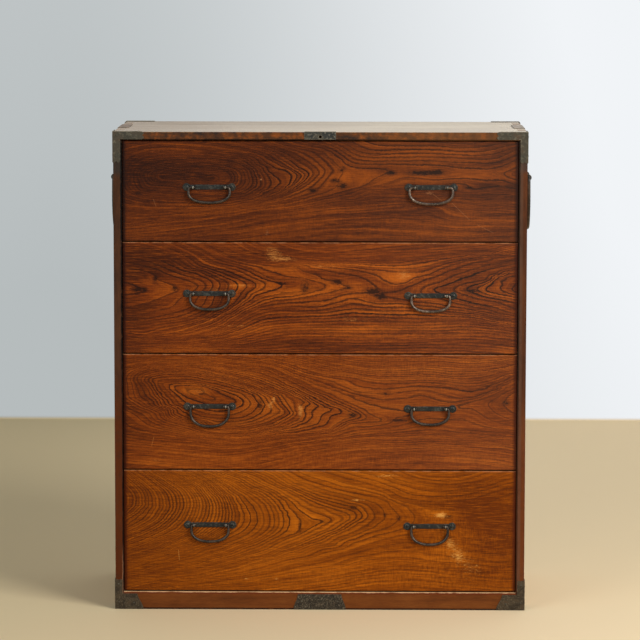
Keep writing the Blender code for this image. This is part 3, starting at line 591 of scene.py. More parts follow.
def bent_sheet(number):
    """Solves the weights of the thin sheet through the drawn rings of a board, a little relaxed."""
    across, down, count = drawn_points(number)
    plane = np.stack([np.ones_like(across), across / STEP_ALONG, down / STEP_DOWN], axis=-1)
    relaxed = sheet_terms(across, down, (across, down)) + 1e-4 * np.eye(len(across))
    top = np.concatenate([relaxed, plane], axis=1)
    whole = np.concatenate([top, np.concatenate([plane.T, np.zeros((3, 3))], axis=1)])
    return across, down, np.linalg.solve(whole, np.concatenate([count, np.zeros(3)]))


def ring_count(number, x, z, top):
    """How many rings lie between the trunk's heart and a place on a drawer's front."""
    drawn_across, drawn_down, weight = bent_sheet(number)
    across, down = (x + FRONT_HALF) / DRAWN, (top - z) / DRAWN
    total = weight[-3] + weight[-2] * across / STEP_ALONG + weight[-1] * down / STEP_DOWN
    return total + sheet_terms(across, down, (drawn_across, drawn_down)) @ weight[:-3]

# %% [markdown]
# ## Ring lines
#
# The fronts are an open-pored hardwood under an old red-brown lacquer. Each ring starts with a dark line
# of pores and fades into paler, denser wood. A picture of wood could be laid on, but it would not fit
# these boards. Here the mesh carries the ring count, and the shader turns its fraction into that line, so
# the colour, the gloss and the sunken pores all agree.

# %% Ring lines
LINE_WIDTH = 0.0040


def ring_noise(finish, rings, along, across, layer, **kind):
    """Noise on a place whose parts are x times along, the ring count times across, and a layer."""
    where = finish.vector(finish.times(finish.x, along), finish.times(rings, across), float(layer))
    return finish.noise_at(where, **kind)


def ring_lines(finish, number, tremble):
    """The unsteady ring count, its fraction, a random number for each ring, and how dark its line is.

    The fraction is divided by a line's width, LINE_WIDTH times the rings per metre, so that a line keeps
    its width where the rings lie close. Each ring has its own strength, and noise breaks it in places.
    """
    slope, figure = finish.attribute("slope"), finish.attribute("figure")
    wander = finish.sum(finish.noise((14, 14, 45), detail=1.0), -0.5)
    moved = finish.sum(finish.times(wander, 0.006), finish.times(tremble, 0.0048))
    rings = finish.sum(finish.attribute("rings"), finish.times(moved, slope))
    phase = finish.math("FRACT", rings)
    each = finish.cells(finish.math("FLOOR", rings))
    broken = ring_noise(finish, rings, 90.0, 1.1, number, detail=3.0, rough=0.65)
    width = finish.sum(finish.times(figure, 0.45), finish.times(broken, 1.5), -0.15)
    width = finish.math("MINIMUM", finish.times(width, slope, LINE_WIDTH), 0.52)
    after = finish.step(finish.math("DIVIDE", phase, width), 1.0, 0.35)
    before = finish.step(finish.math("DIVIDE", finish.math("SUBTRACT", 1.0, phase), width), 0.30, 0.08)
    patch = ring_noise(finish, rings, 5.0, 0.35, 7 + number, detail=1.0)
    strength = finish.times(finish.step(each, 0.0, 0.8, 0.6, 1.0), finish.step(patch, 0.25, 0.55, 0.55, 1.0))
    line = finish.times(finish.larger(after, before), strength, finish.step(figure, 0.0, 1.0))
    return rings, phase, each, line

# %% [markdown]
# ## Wood between the lines
#
# Lacquered wood glows more or less from streak to streak. One noise over the whole board would cross the
# rings, so the streaks are noise on the ring count itself. Fine fibres run straight along the board.

# %% Ground colour
# The end tone is painted shade on the planed ends of a front
TONE_NAMES = ("deep", "middle", "bright", "line", "worn", "end")
TONES = {
    1: [(47, 20, 10), (82, 36, 12), (144, 70, 15), (21, 10, 7), (150, 98, 62), (22, 8, 6)],
    2: [(65, 26, 8), (110, 48, 11), (172, 87, 18), (27, 12, 7), (182, 118, 56), (40, 12, 6)],
    3: [(82, 34, 6), (119, 53, 9), (170, 88, 20), (32, 14, 7), (190, 122, 56), (46, 14, 6)],
    4: [(98, 42, 3), (136, 66, 2), (184, 99, 12), (52, 23, 5), (210, 150, 72), (62, 19, 4)],
}


def streaked_wood(finish, number, tone, rings, phase, each):
    """The colour of the wood between the lines, and its clouds and fibres.

    Its level on a ramp from deep to bright is a sum: broad and fine streaks, clouds, the paler end of each
    ring, a weave across the grain where ripple is strong, and the board's tone at that place.
    """
    streak = ring_noise(finish, rings, 3.4, 0.8, 3 + number, detail=4.0, rough=0.6)
    thin = ring_noise(finish, rings, 9.0, 5.0, 5 + number, rough=0.6)
    cloud = finish.noise((3.5, 3.5, 9.0))
    weave = finish.sum(finish.noise((330, 330, 70), rough=0.6), -0.5)
    weave = finish.times(weave, finish.attribute("ripple"))
    late = finish.times(phase, finish.sum(each, -0.2), 0.16)
    level = finish.sum(streak, finish.times(thin, 0.45), finish.times(cloud, 0.40), late, weave, -0.42,
                       finish.attribute("tone"))
    wood = finish.ramp(level, (0.18, 0.50, 0.90), (tone["deep"], tone["middle"], tone["bright"]))
    fibre = finish.noise((30, 30, 800), detail=3.0, rough=0.65)
    wood = finish.mix(finish.step(fibre, 0.44, 0.72, 0.0, 0.55), wood, tone["line"])
    wood = finish.mix(finish.step(fibre, 0.50, 0.28, 0.0, 0.45), wood, tone["bright"])
    return wood, cloud, fibre

# %% [markdown]
# ## Knots and pores
#
# A knot is a dark core in a soft halo. Knots could be separate discs on the board, but the rings should
# pass into them, so they are spots on the mesh that noise and the lines make ragged. Pores are short
# dashes along the grain, more of them where the wood is dark.

# %% Knots and pores
def knots_and_pores(finish, tone, wood, line, tremble):
    """Lays the lines, knots and pores on the wood: the darkest of line, halo and core counts."""
    knot = finish.attribute("knot")
    halo = finish.times(finish.step(finish.sum(knot, finish.times(tremble, 0.8)), 0.05, 0.6), 0.45)
    core = finish.step(finish.sum(knot, finish.times(tremble, 1.9), finish.times(line, 0.25)), 0.48, 0.85)
    dark = finish.larger(line, halo, finish.times(core, 0.95))
    wood = finish.mix(finish.times(dark, 0.95), wood, tone["line"])
    pore = finish.step(finish.noise((170, 170, 2600), detail=1.0), 0.58, 0.70)
    pore = finish.times(pore, finish.sum(finish.times(dark, 0.6), 0.4))
    return finish.mix(finish.times(pore, 0.5), wood, tone["line"]), dark, pore

# %% [markdown]
# ## Wear and painted light on the fronts
#
# Hands and tools have rubbed the lacquer through. Noise alone would rub every board alike, so the rubbed
# places and scratches are drawn, and noise only frays them. The planed ends and the lower edge are painted
# in shade, a painted grey-green reflection grows towards the right, and the upper edge is chipped pale
# with a painted highlight, except on the top drawer, where the rail's shadow is painted on it.

# %% Wear and painted light on the fronts
END_CHAMFER = 0.005  # the strip planed off at both ends of a front
# Towards the right a painted reflection, stronger towards the right: a share of one grey green
REFLECTION_TOWARDS_RIGHT = {1: 0.03, 2: 0.03, 3: 0.03, 4: 0.0}
# Painted colours: the grey green of a reflection, the shade of the lower edge, the pale of upper edges that
# are chipped and painted lit, and the rail's shadow
REFLECTED_GREY_GREEN, SHADE, CHIPPED_AND_LIT, RAIL_SHADOW = (103, 129, 122), (14, 7, 5), (178, 118, 78), (16, 9, 7)
SCRATCH_WIDTH = 0.0009
# Thin scratches, from (across, down) to (across, down) in the tables' own steps
SCRATCHES = {
    1: [(1296, 240, 1372, 312), (1398, 328, 1466, 362), (1200, 190, 1262, 236), (120, 225, 134, 262)],
    2: [],
    3: [(121, 328, 110, 372)],
    4: [(216, 318, 220, 366)],
}


def wear_and_painted_light(finish, number, tone, wood, top, low):
    """Lays colours on the wood in turn: rubbed spots, a painted reflection, painted shade on the ends and the
    lower edge, and a chipped upper edge with a painted highlight, which on the top drawer is the rail's
    painted shadow instead.
    """
    strands = finish.noise((120, 120, 700), detail=4.0, rough=0.7)
    rubbed = finish.sum(finish.attribute("pale"), finish.times(strands, 2.6), -1.75)
    rubbed = finish.step(rubbed, 0.05, 0.65, 0.0, 0.85)
    for across, down, to_across, to_down in SCRATCHES[number]:
        start = (across * DRAWN - FRONT_HALF, top - down * DRAWN)
        end = (to_across * DRAWN - FRONT_HALF, top - to_down * DRAWN)
        scratch = finish.mark(start, end, SCRATCH_WIDTH)
        rubbed = finish.larger(rubbed, finish.times(scratch, finish.step(strands, 0.40, 0.55, 0.15, 0.5)))
    wood = finish.mix(rubbed, wood, tone["worn"])
    # Painted reflection of the window, growing towards the right
    painted_reflection = finish.step(finish.x, -0.15, FRONT_HALF, 0.0, REFLECTION_TOWARDS_RIGHT[number])
    wood = finish.mix(painted_reflection, wood, REFLECTED_GREY_GREEN)
    beyond = finish.math("ABSOLUTE", finish.x)
    planed = FRONT_HALF - END_CHAMFER
    # The planed ends and a band beside them: painted shade
    planed_end_shade = finish.step(beyond, planed - 0.0006, planed + 0.0002, 0.0, 0.82)
    shade_beside_end = finish.step(beyond, planed - 0.006, planed, 0.0, 0.55)
    wood = finish.mix(finish.larger(planed_end_shade, shade_beside_end), wood, tone["end"])
    # The lower edge: painted shade
    lower_edge_shade = finish.step(finish.z, low + 0.0024, low + 0.0012, 0.0, 0.92)
    wood = finish.mix(lower_edge_shade, wood, SHADE)
    # The upper edge: chipped pale and painted lit, and on the top drawer the rail's painted shadow instead
    chips = finish.noise((60, 60, 20), shift=STILL, detail=3.0, rough=0.6)
    arris = finish.step(finish.z, top - 0.0022, top - 0.0015)
    arris = finish.times(arris, finish.step(chips, 0.35, 0.62, 0.08, 0.62))
    return finish.mix(arris, wood, CHIPPED_AND_LIT if number > 1 else RAIL_SHADOW)

# %% [markdown]
# ## Figured hardwood
#
# Now the layers are put together, from the wood up to its wear and painted light. One long recipe would do
# the same, but each layer can be looked at by itself this way. The lacquer is duller over dark wood, and
# lines and pores are sunk into it.

# %% Figured hardwood
def figured_hardwood(number, top, low):
    """One front's finish: its roughness is a sum of clouds, dark places and fibres."""
    tone = dict(zip(TONE_NAMES, TONES[number]))
    shift = (1.7 * number, 0.4 * number, 2.3 * number)
    finish = Finish(f"figured_hardwood_{number}", specular=0.08, shift=shift)
    tremble = finish.sum(finish.noise((130, 130, 400), detail=3.0, rough=0.65), -0.5)
    rings, phase, each, line = ring_lines(finish, number, tremble)
    wood, cloud, fibre = streaked_wood(finish, number, tone, rings, phase, each)
    wood, dark, pore = knots_and_pores(finish, tone, wood, line, tremble)
    wood = wear_and_painted_light(finish, number, tone, wood, top, low)
    rough = finish.sum(finish.times(cloud, 0.18), finish.times(dark, 0.12), finish.times(fibre, 0.12), 0.32)
    bumps = [(0.0002, finish.times(dark, -1.0)), (0.00012, finish.times(pore, -1.0)), (0.00008, fibre)]
    return finish.paint(wood, rough, bumps)

# %% [markdown]
# ## Drawer fronts
#
# Each front is one board, 20 mm thick, with planed-off edges. Its back is cut away at both ends for the
# drawer's sides and grooved for its bottom. A box with a bevel would do for the shape, but the ring count
# needs many points, so the board is a profile of height and depth carried along its length.

# %% Shape of a front
SPACING = 0.0025
EDGE_CHAMFER = 0.002
CHAMFER_DEPTH = 0.002
GAP = 0.0003
HAIR = 1e-5  # two stations this far apart make a square step


def stations(low, high, chamfer):
    """Places from low to high, closer together where the edges are planed off."""
    near = np.array([0, 0.25, 0.5, 0.75, 1.0, 1.25]) * chamfer
    middle = np.linspace(low + 1.5 * chamfer, high - 1.5 * chamfer, int((high - low) / SPACING))
    return np.concatenate([low + near, middle, (high - near)[::-1]])


def front_face(grid_x, grid_z, low, high, number):
    """How far back the face lies: a chamfer of power 1.25 at all four edges, and a slight ripple."""
    end = np.clip(1 - (high.x - np.abs(grid_x)) / END_CHAMFER, 0, 1)
    uneven = 1 + 0.25 * np.sin(31 * grid_x + number) * np.sin(83 * grid_x + 2 * number)
    edge = np.clip(1 - np.minimum(grid_z - low.z, high.z - grid_z) / (EDGE_CHAMFER * uneven), 0, 1)
    planed = np.maximum(end, edge)
    ripple = 0.00006 * np.sin(55 * grid_x + 9 * grid_z) * np.sin(140 * grid_z + number)
    return low.y + CHAMFER_DEPTH * planed ** 1.25 + ripple * (1 - planed)


def front_board(number):
    """A board whose profile runs up its face, over its top edge and down its stepped back."""
    low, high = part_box(f"drawer_{number}_front")
    side_low, side_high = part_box(f"drawer_{number}_side_right")
    bottom_low, bottom_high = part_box(f"drawer_{number}_bottom")
    inner = side_low.x - GAP
    steps = [-inner - HAIR, -inner, inner, inner + HAIR]
    x = np.unique(np.concatenate([stations(low.x, high.x, END_CHAMFER), steps]))
    z = stations(low.z, high.z, EDGE_CHAMFER)
    grid_x, grid_z = np.meshgrid(x, z, indexing="ij")
    lapped = (np.abs(x) > inner + HAIR / 2)[:, None]
    heights = np.array([high.z, side_high.z + GAP, side_high.z + GAP, bottom_high.z + GAP,
                        bottom_high.z + GAP, bottom_low.z - GAP, bottom_low.z - GAP, low.z])
    plain, lap, groove = high.y, side_low.y - GAP, bottom_low.y - GAP
    in_lap = np.array([plain, plain, lap, lap, lap, lap, plain, plain])
    in_middle = np.array([plain, plain, plain, plain, groove, groove, plain, plain])
    points = np.empty((len(x), len(z) + len(heights), 3))
    points[..., 0] = x[:, None]
    points[:, :len(z), 1] = front_face(grid_x, grid_z, low, high, number)
    points[:, :len(z), 2] = grid_z
    points[:, len(z):, 1] = np.where(lapped, in_lap, in_middle)
    points[:, len(z):, 2] = heights
    return skin(points)

# %% [markdown]
# ## Places on the fronts
#
# Knots, glowing and dull patches, rubbed places and the clearness of the lines differ from board to board.
# They could be painted on the mesh by hand. Written as a few soft round spots, they can be read, moved and
# made again: (across, down, half width, half height, strength) in the drawn rings' own steps.

# %% Soft spots
# Knots
KNOTS = {
    1: [(750, 193, 24, 10, 1.0), (838, 155, 22, 9, 1.0), (868, 175, 22, 13, 1.1), (868, 112, 16, 14, 0.8),
        (1058, 124, 22, 10, 1.1), (1180, 124, 56, 11, 1.1), (1245, 121, 24, 11, 1.1),
        (1365, 182, 22, 7, 0.9), (60, 205, 14, 9, 0.7)],
    2: [(62, 188, 34, 11, 1.1), (722, 178, 20, 22, 0.9), (848, 156, 24, 11, 1.1), (990, 192, 36, 14, 1.1),
        (1022, 216, 26, 13, 1.1), (128, 148, 12, 20, 0.9), (205, 185, 14, 14, 0.8),
        (1380, 188, 40, 10, 0.9), (890, 180, 22, 7, 0.8)],
    3: [(910, 242, 22, 10, 1.0), (1040, 155, 18, 5, 0.9), (1095, 262, 40, 7, 1.0), (543, 200, 14, 26, 0.8),
        (1520, 190, 20, 12, 0.8)],
    4: [(914, 148, 18, 8, 1.1), (701, 225, 8, 30, 0.9), (1095, 190, 12, 14, 0.9), (1040, 180, 8, 12, 0.8),
        (1290, 184, 22, 8, 0.9), (790, 205, 18, 8, 0.7)],
}
# Patches that glow more than the board, and duller ones where the strength is below 0
TINTS = {
    1: [(230, 110, 300, 80, -0.26), (30, 120, 150, 110, -0.24), (950, 230, 170, 70, -0.16),
        (1200, 230, 120, 70, -0.1), (150, 40, 260, 34, 0.16), (760, 150, 170, 60, 0.2),
        (980, 150, 130, 40, 0.2), (750, 35, 260, 45, -0.12), (1250, 60, 350, 50, 0.24),
        (1250, 150, 300, 24, 0.22), (500, 265, 420, 26, 0.14), (1330, 330, 330, 90, 0.1),
        (200, 330, 260, 40, 0.08)],
    2: [(50, 90, 160, 70, -0.46), (0, 250, 170, 190, -0.3), (420, 90, 330, 60, -0.16),
        (400, 260, 160, 120, -0.12), (500, 36, 760, 34, -0.14), (450, 172, 70, 10, 0.34),
        (160, 180, 90, 60, 0.18), (860, 92, 330, 16, 0.3), (640, 200, 90, 20, 0.2),
        (1100, 128, 70, 24, 0.25), (900, 205, 240, 60, 0.24), (1450, 100, 160, 60, -0.1),
        (500, 350, 560, 26, 0.1), (1000, 345, 380, 16, 0.12), (900, 412, 600, 24, -0.14),
        (240, 425, 240, 20, 0.14)],
    3: [(280, 140, 70, 25, 0.34), (0, 250, 150, 260, -0.22), (600, 190, 120, 40, 0.12),
        (1200, 210, 140, 24, 0.16), (1480, 170, 110, 110, -0.18), (800, 60, 360, 60, 0.08),
        (1050, 400, 500, 50, 0.07), (150, 430, 320, 22, 0.1)],
    4: [(720, 200, 130, 50, 0.16), (0, 200, 220, 300, -0.2), (1490, 250, 130, 120, -0.2),
        (1170, 320, 190, 130, -0.1), (1450, 185, 190, 110, -0.48), (1250, 170, 50, 18, 0.3),
        (700, 60, 420, 60, 0.1), (850, 240, 200, 60, 0.08), (1300, 310, 90, 60, 0.22),
        (700, 420, 560, 50, 0.08), (1480, 430, 140, 60, -0.12), (300, 110, 60, 30, 0.1)],
}
# Places where the lacquer is rubbed off
SCUFFS = {
    1: [(547, 152, 5, 5, 1.3), (570, 360, 10, 18, 0.8), (1210, 205, 24, 8, 0.8), (800, 60, 50, 3, 0.6)],
    2: [(592, 42, 46, 32, 0.72), (645, 66, 50, 11, 0.8), (780, 95, 120, 7, 0.65), (465, 171, 50, 7, 0.9),
        (1110, 128, 44, 24, 0.75), (455, 332, 80, 3, 0.9), (920, 305, 110, 12, 0.6),
        (350, 190, 80, 12, 0.5)],
    3: [(582, 203, 12, 20, 1.0), (598, 178, 9, 18, 0.9), (702, 225, 13, 36, 1.05), (300, 150, 60, 8, 0.6),
        (130, 425, 22, 6, 0.7), (1200, 210, 60, 10, 0.5)],
    4: [(1262, 178, 30, 13, 1.1), (930, 118, 30, 5, 0.9), (1300, 292, 30, 26, 0.72),
        (1330, 340, 38, 34, 0.68), (1385, 395, 60, 50, 0.5), (488, 437, 11, 4, 1.0), (607, 438, 10, 4, 1.0),
        (1045, 20, 70, 8, 0.7), (1285, 235, 20, 30, 0.6)],
}
# How clearly the lines show: a value for the whole board, and soft spots that add to it
CLARITY = {
    1: (0.36, [(110, 170, 130, 60, 0.14), (330, 90, 200, 60, -0.2), (510, 150, 130, 70, 0.28),
               (720, 150, 160, 80, 0.6), (1200, 60, 380, 70, 0.55), (1400, 170, 200, 40, 0.55),
               (500, 330, 600, 90, -0.15)]),
    2: (0.48, [(300, 160, 340, 70, 0.6), (900, 190, 300, 80, 0.6), (1350, 180, 260, 110, 0.55),
               (500, 30, 800, 40, -0.3), (800, 280, 500, 60, 0.3)]),
    3: (0.46, [(300, 170, 260, 90, 0.38), (750, 220, 320, 90, 0.45), (1250, 180, 330, 90, 0.38),
               (600, 430, 800, 60, -0.32)]),
    4: (0.46, [(350, 170, 380, 110, 0.3), (860, 190, 260, 90, 0.5), (1350, 220, 220, 120, -0.15),
               (1000, 350, 350, 60, -0.06), (300, 400, 500, 70, -0.1)]),
}
# Where the fine weave across the grain is strong
RIPPLES = {
    1: [(900, 330, 600, 80, 0.1)],
    2: [(1100, 250, 400, 150, 0.25)],
    3: [(900, 40, 600, 60, 0.3), (900, 420, 600, 50, 0.3)],
    4: [(1340, 300, 260, 190, 0.6), (1000, 430, 700, 50, 0.3)],
}
PLAIN_RIPPLE = 0.14


def spots(table, along, down):
    """A sum of soft round spots: each fades as exp(-(distance / half size) ** 2)."""
    total = np.zeros_like(along)
    for centre, level, wide, high, strength in table:
        total += strength * np.exp(-((along - centre) / wide) ** 2 - ((down - level) / high) ** 2)
    return total

# %% [markdown]
# ## The boards
#
# Each board is made from its shape and its finish, and then every point is told its ring count and its
# spots. The slope of the count could be worked out on paper, but two more counts a short reach away give
# it as well.

# %% Front boards
REACH = 0.0008


def write_figure(mesh, number, top):
    """Stores on each point the ring count and its slope per metre, and the soft spots of every table."""
    x, _, z = places_of(mesh).astype(float).T
    along, down = (x + FRONT_HALF) / DRAWN, (top - z) / DRAWN
    base, more = CLARITY[number]
    rings = ring_count(number, x, z, top)
    rise = [(ring_count(number, x + dx, z + dz, top) - rings) / REACH for dx, dz in ((REACH, 0), (0, REACH))]
    values = {"rings": rings, "slope": np.clip(np.hypot(*rise), 8, 400),
              "figure": np.clip(base + spots(more, along, down), 0.05, 1.0),
              "ripple": PLAIN_RIPPLE + spots(RIPPLES[number], along, down)}
    for key, table in (("tone", TINTS), ("knot", KNOTS), ("pale", SCUFFS)):
        values[key] = spots(table[number], along, down)
    for key, value in values.items():
        mesh.attributes.new(key, "FLOAT", "POINT").data.foreach_set("value", value.astype(np.float32))
    return rings


for number in RINGS:
    node = f"drawer_{number}_front"
    low, top = (corner.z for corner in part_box(node))
    board = make_piece(f"front_board_{number}", [front_board(number)], figured_hardwood(number, top, low),
                       f"drawer_{number}", [node])
    rings = write_figure(board.data, number, top)
    print(board.name, "faces:", len(board.data.polygons),
          "rings:", round(rings.min(), 1), "to", round(rings.max(), 1))

# %% [markdown]
# ## Dark strips of the frame
#
# Four hardwood strips cover the front edges of the boards. Their lacquer is nearly black in the grain
# and worn to pale wood on the arrises. They could be made anew like the fronts, but plain straight grain
# needs no drawn rings. So the strips keep their solids, and only the finish is made here, with the grain
# turned along each strip.

# %% Straight wood
def straight_wood(name, seed, scale, colours, worn, wear, bands, blotches=0.45, patch=9.0):
    """Straight grain: noise stretched along the board, with blotches, fibres and worn edges.

    Each band lays a colour on the wood where a coordinate passes from start to end in metres:
    (coordinate, start, end, colour, share), and then the same for a second coordinate that limits it.
    """
    finish = Finish(name, specular=0.08, shift=(seed, 2 * seed, 3 * seed))
    wide = finish.noise(scale, 7, detail=3.0, rough=0.6, warp=0.4)
    fibre = finish.noise(scale, 60, detail=3.0, rough=0.7)
    blotch = finish.noise(EVEN, patch, detail=3.0, rough=0.6)
    level = finish.sum(finish.times(wide, 0.55), finish.times(fibre, 0.35), finish.times(blotch, blotches),
                       0.05 - 0.5 * blotches)
    wood = finish.ramp(level, (0.25, 0.5, 0.75), colours)
    chips = finish.noise(EVEN, 60, detail=4.0, rough=0.65)
    rubbed = finish.times(finish.edges(0.0025), finish.step(chips, 0.40, 0.62))
    wood = finish.mix(finish.times(rubbed, wear), wood, worn)
    uneven = finish.times(finish.sum(chips, -0.5), 0.0034)
    for axis, start, end, colour, share, *limit in bands:
        laid = finish.step(finish.sum(finish.axes[axis], uneven), start, end)
        if limit:
            laid = finish.times(laid, finish.step(finish.axes[limit[0]], limit[1], limit[2]))
        laid = finish.times(laid, finish.step(chips, 0.30, 0.55, 0.5 * share, share))
        wood = finish.mix(laid, wood, colour)
    rough = finish.sum(finish.times(blotch, 0.25), finish.times(fibre, 0.12), 0.36)
    return finish.paint(wood, rough, [(0.00015, fibre), (0.0002, wide)], soft=0.0008)


def dress(node, material):
    """Gives a solid of the frame a finish in place of its plain one."""
    mesh = nodes[node].data
    mesh.materials.clear()
    mesh.materials.append(material)

# %% [markdown]
# ## Colours of the strips
#
# Each strip has changed in its own way: the lower rail's edge is worn to bare wood, and the stiles grow
# redder towards the floor. Shade is painted under the top rail, in the gaps beside the drawers and along
# the floor, and the lower rail's upper chamfer is painted lit as well as worn. Each of these is a band of
# colour from one level to another, which is simpler than four painted strips.

# %% Frame strips
ALONG_X, ALONG_Z = (1.0, 9.0, 9.0), (9.0, 9.0, 1.0)
# Painted shade: under the top rail, on the inner edges of the stiles beside the drawers, and along the floor
SHADE_BLACK = (12, 7, 6)
under_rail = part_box("top_rail")[0].z
rail_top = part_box("bottom_rail")[1].z
left_edge, right_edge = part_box("stile_left")[1].x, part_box("stile_right")[0].x
iron_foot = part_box("corner_iron_top_left")[0].z
rail_top_wood = straight_wood(
    "lacquered_rail_top", 1.0, ALONG_X, [(42, 32, 28), (78, 47, 27), (126, 68, 28)], (205, 158, 96), 0.7,
    # painted shade under the rail
    [(Z, under_rail + 0.0036, under_rail + 0.0024, SHADE_BLACK, 0.94),
     (X, 0.0, 0.30, (112, 72, 40), 0.50)], blotches=1.2, patch=55.0)
rail_foot_wood = straight_wood(
    "lacquered_rail_foot", 2.0, ALONG_X, [(74, 38, 14), (102, 54, 20), (122, 70, 28)], (150, 96, 56), 0.3,
    [(Z, rail_top - 0.0050, rail_top - 0.0040, (92, 32, 10), 0.7),
     # The upper chamfer: worn to bare wood, and painted lighter as lit
     (Z, rail_top - 0.0018, rail_top - 0.0010, (204, 162, 118), 0.95),
     # painted shadow along the floor
     (Z, 0.0046, 0.0028, SHADE_BLACK, 0.85)])
left_wood = straight_wood(
    "lacquered_stile_left", 3.0, ALONG_Z, [(34, 22, 16), (62, 38, 24), (84, 51, 30)], (140, 92, 62), 0.25,
    # painted shade on the inner edge
    [(X, left_edge - 0.0034, left_edge - 0.0024, SHADE_BLACK, 0.92),
     (Z, 0.60, 0.38, (86, 36, 4), 0.72),
     (Z, iron_foot - 0.036, iron_foot - 0.016, (44, 43, 40), 0.66),
     (X, left_edge - 0.0032, left_edge - 0.0026, (200, 146, 110), 0.50, Z, 0.15, 0.09),
     # painted shade in the gap
     (X, left_edge - 0.0024, left_edge - 0.0018, SHADE_BLACK, 0.92)])
right_wood = straight_wood(
    "lacquered_stile_right", 4.0, ALONG_Z, [(44, 26, 17), (76, 42, 24), (98, 56, 30)], (124, 84, 58), 0.25,
    # painted shade on the inner edge
    [(X, right_edge + 0.0034, right_edge + 0.0024, SHADE_BLACK, 0.92),
     (Z, 0.55, 0.25, (112, 54, 14), 0.50),
     (Z, iron_foot - 0.026, iron_foot - 0.010, (54, 50, 48), 0.66),
     (X, right_edge + 0.0100, right_edge + 0.0075, (86, 68, 56), 0.4)])
STRIPS = {"top_rail": rail_top_wood, "bottom_rail": rail_foot_wood, "stile_left": left_wood,
          "stile_right": right_wood}
for node, wood in STRIPS.items():
    dress(node, wood)
print("frame strips dressed:", len(STRIPS))

# %% [markdown]
# ## Weathered softwood
#
# The box is pale softwood. Its top has dried out and greyed, with fine dark lines along the grain, and
# the sides are browner. The top is painted darker to the left and paler to the right, as painted shade
# and painted light from the window. Every board could have a recipe of its own. One recipe serves them
# all, turned along each board's length, because they were cut from the same wood.

# %% Softwood
# A seam is darkest within the first distance of its middle, and gone at the second
SEAM, SEAM_EDGE = 0.0005, 0.0013
SEAM_BROWN, DIRT_BROWN, RUBBED_WOOD = (46, 32, 22), (92, 66, 44), (226, 194, 144)


def softwood(name, seed, scale, colours, grey, dirt=0.35, veils=(), boards=None):
    """Close even grain: thin dark lines along the board over a pale ground, greyed in patches.

    Each veil lays a colour on it where a coordinate passes from one level to another, in order:
    (coordinate, level without it, level with all of it, colour, share). boards joins boards edge to edge,
    each of its own tone, with a dark seam between them: (coordinate across, width, first seam, seam share).
    """
    finish = Finish(name, specular=0.3, shift=(seed, 1.3 * seed, 0.7 * seed))
    wide = finish.noise(scale, 12, warp=0.2)
    lines = finish.noise(scale, 40, rough=0.6)
    fibre = finish.noise(scale, 220, rough=0.6)
    patch = finish.noise(EVEN, 3, detail=4.0, rough=0.6)
    spot = finish.noise(EVEN, 28, detail=3.0, rough=0.6)
    bands = finish.noise(scale, 2.4, detail=3.0, rough=0.6)
    level = finish.sum(finish.times(wide, 0.4), finish.times(lines, 0.45), finish.times(fibre, 0.25),
                       finish.times(bands, 0.7), -0.40)
    if boards:
        axis, width, first, seam_share = boards
        count = finish.times(finish.sum(finish.axes[axis], -first), 1.0 / width)
        each = finish.cells(finish.sum(finish.math("FLOOR", count), 0.5 + seed))
        level = finish.sum(level, finish.times(finish.sum(each, -0.5), 0.22))
        off_middle = finish.math("ABSOLUTE", finish.sum(finish.math("FRACT", count), -0.5))
        seam = finish.step(off_middle, 0.5 - SEAM_EDGE / width, 0.5 - SEAM / width, 0.0, seam_share)
    wood = finish.ramp(level, (0.28, 0.5, 0.75), colours)
    if boards:
        wood = finish.mix(seam, wood, SEAM_BROWN)
    for axis, without, full, colour, share in veils:
        wood = finish.mix(finish.step(finish.axes[axis], without, full, 0.0, share), wood, colour)
    wood = finish.mix(finish.step(patch, 0.38, 0.68, 0.0, 0.6), wood, grey)
    wood = finish.mix(finish.step(spot, 0.60, 0.74, 0.0, dirt), wood, DIRT_BROWN)
    worn = finish.times(finish.edges(0.003), finish.step(spot, 0.35, 0.6, 0.0, 0.6))
    wood = finish.mix(worn, wood, RUBBED_WOOD)
    return finish.paint(wood, 0.72, [(0.0002, lines), (0.0001, fibre)], soft=0.0012)

# %% [markdown]
# ## Boards of the box
#
# The top and the sides are three boards wide, glued edge to edge, and the thin back is five boards high.
# The seams could be cut into the solids, but they are closed and only show as dark lines. The fingers of
# the sides have greyed where they come through to the top, and the top's own edges have stayed brown.

# %% Carcass wood
ACROSS_X, ACROSS_Y, ACROSS_Z = (1.0, 12.0, 12.0), (12.0, 1.0, 12.0), (12.0, 12.0, 1.0)
CHEST_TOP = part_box("top_board")[1].z
BOARD, FIRST_SEAM = 0.146, -0.216
BACK_BOARD, FIRST_BACK_SEAM = 0.212, 0.004
BOX_TONES, BOX_GREY = [(164, 132, 94), (200, 170, 128), (216, 190, 150)], (190, 166, 132)
# On the top, the first veil is painted shade, darker to the left, and the second painted light and sheen,
# paler to the right
top_wood = softwood(
    "weathered_top", 1.0, ACROSS_X, [(186, 166, 144), (221, 203, 184), (245, 231, 213)], (221, 207, 190),
    dirt=0.10, veils=[(X, -0.05, -0.45, (146, 126, 106), 0.42), (X, -0.30, 0.20, (255, 243, 222), 0.62),
                      (Z, CHEST_TOP - 0.0004, CHEST_TOP - 0.0012, (150, 114, 80), 0.85)],
    boards=(Y, BOARD, FIRST_SEAM, 0.35))
side_wood = softwood(
    "weathered_side", 2.0, ACROSS_Z, [(104, 72, 46), (142, 104, 70), (166, 128, 90)], (128, 104, 82),
    veils=[(Z, CHEST_TOP - 0.0009, CHEST_TOP - 0.0003, (206, 186, 166), 0.85)],
    boards=(Y, BOARD, FIRST_SEAM, 0.45))
back_wood = softwood(
    "bare_back", 3.0, ACROSS_X, [(140, 110, 78), (178, 148, 110), (196, 168, 130)], (160, 142, 120),
    boards=(Z, BACK_BOARD, FIRST_BACK_SEAM, 0.85))
box_wood = softwood("drawer_box_softwood", 4.0, ACROSS_Y, BOX_TONES, BOX_GREY, dirt=0.15)
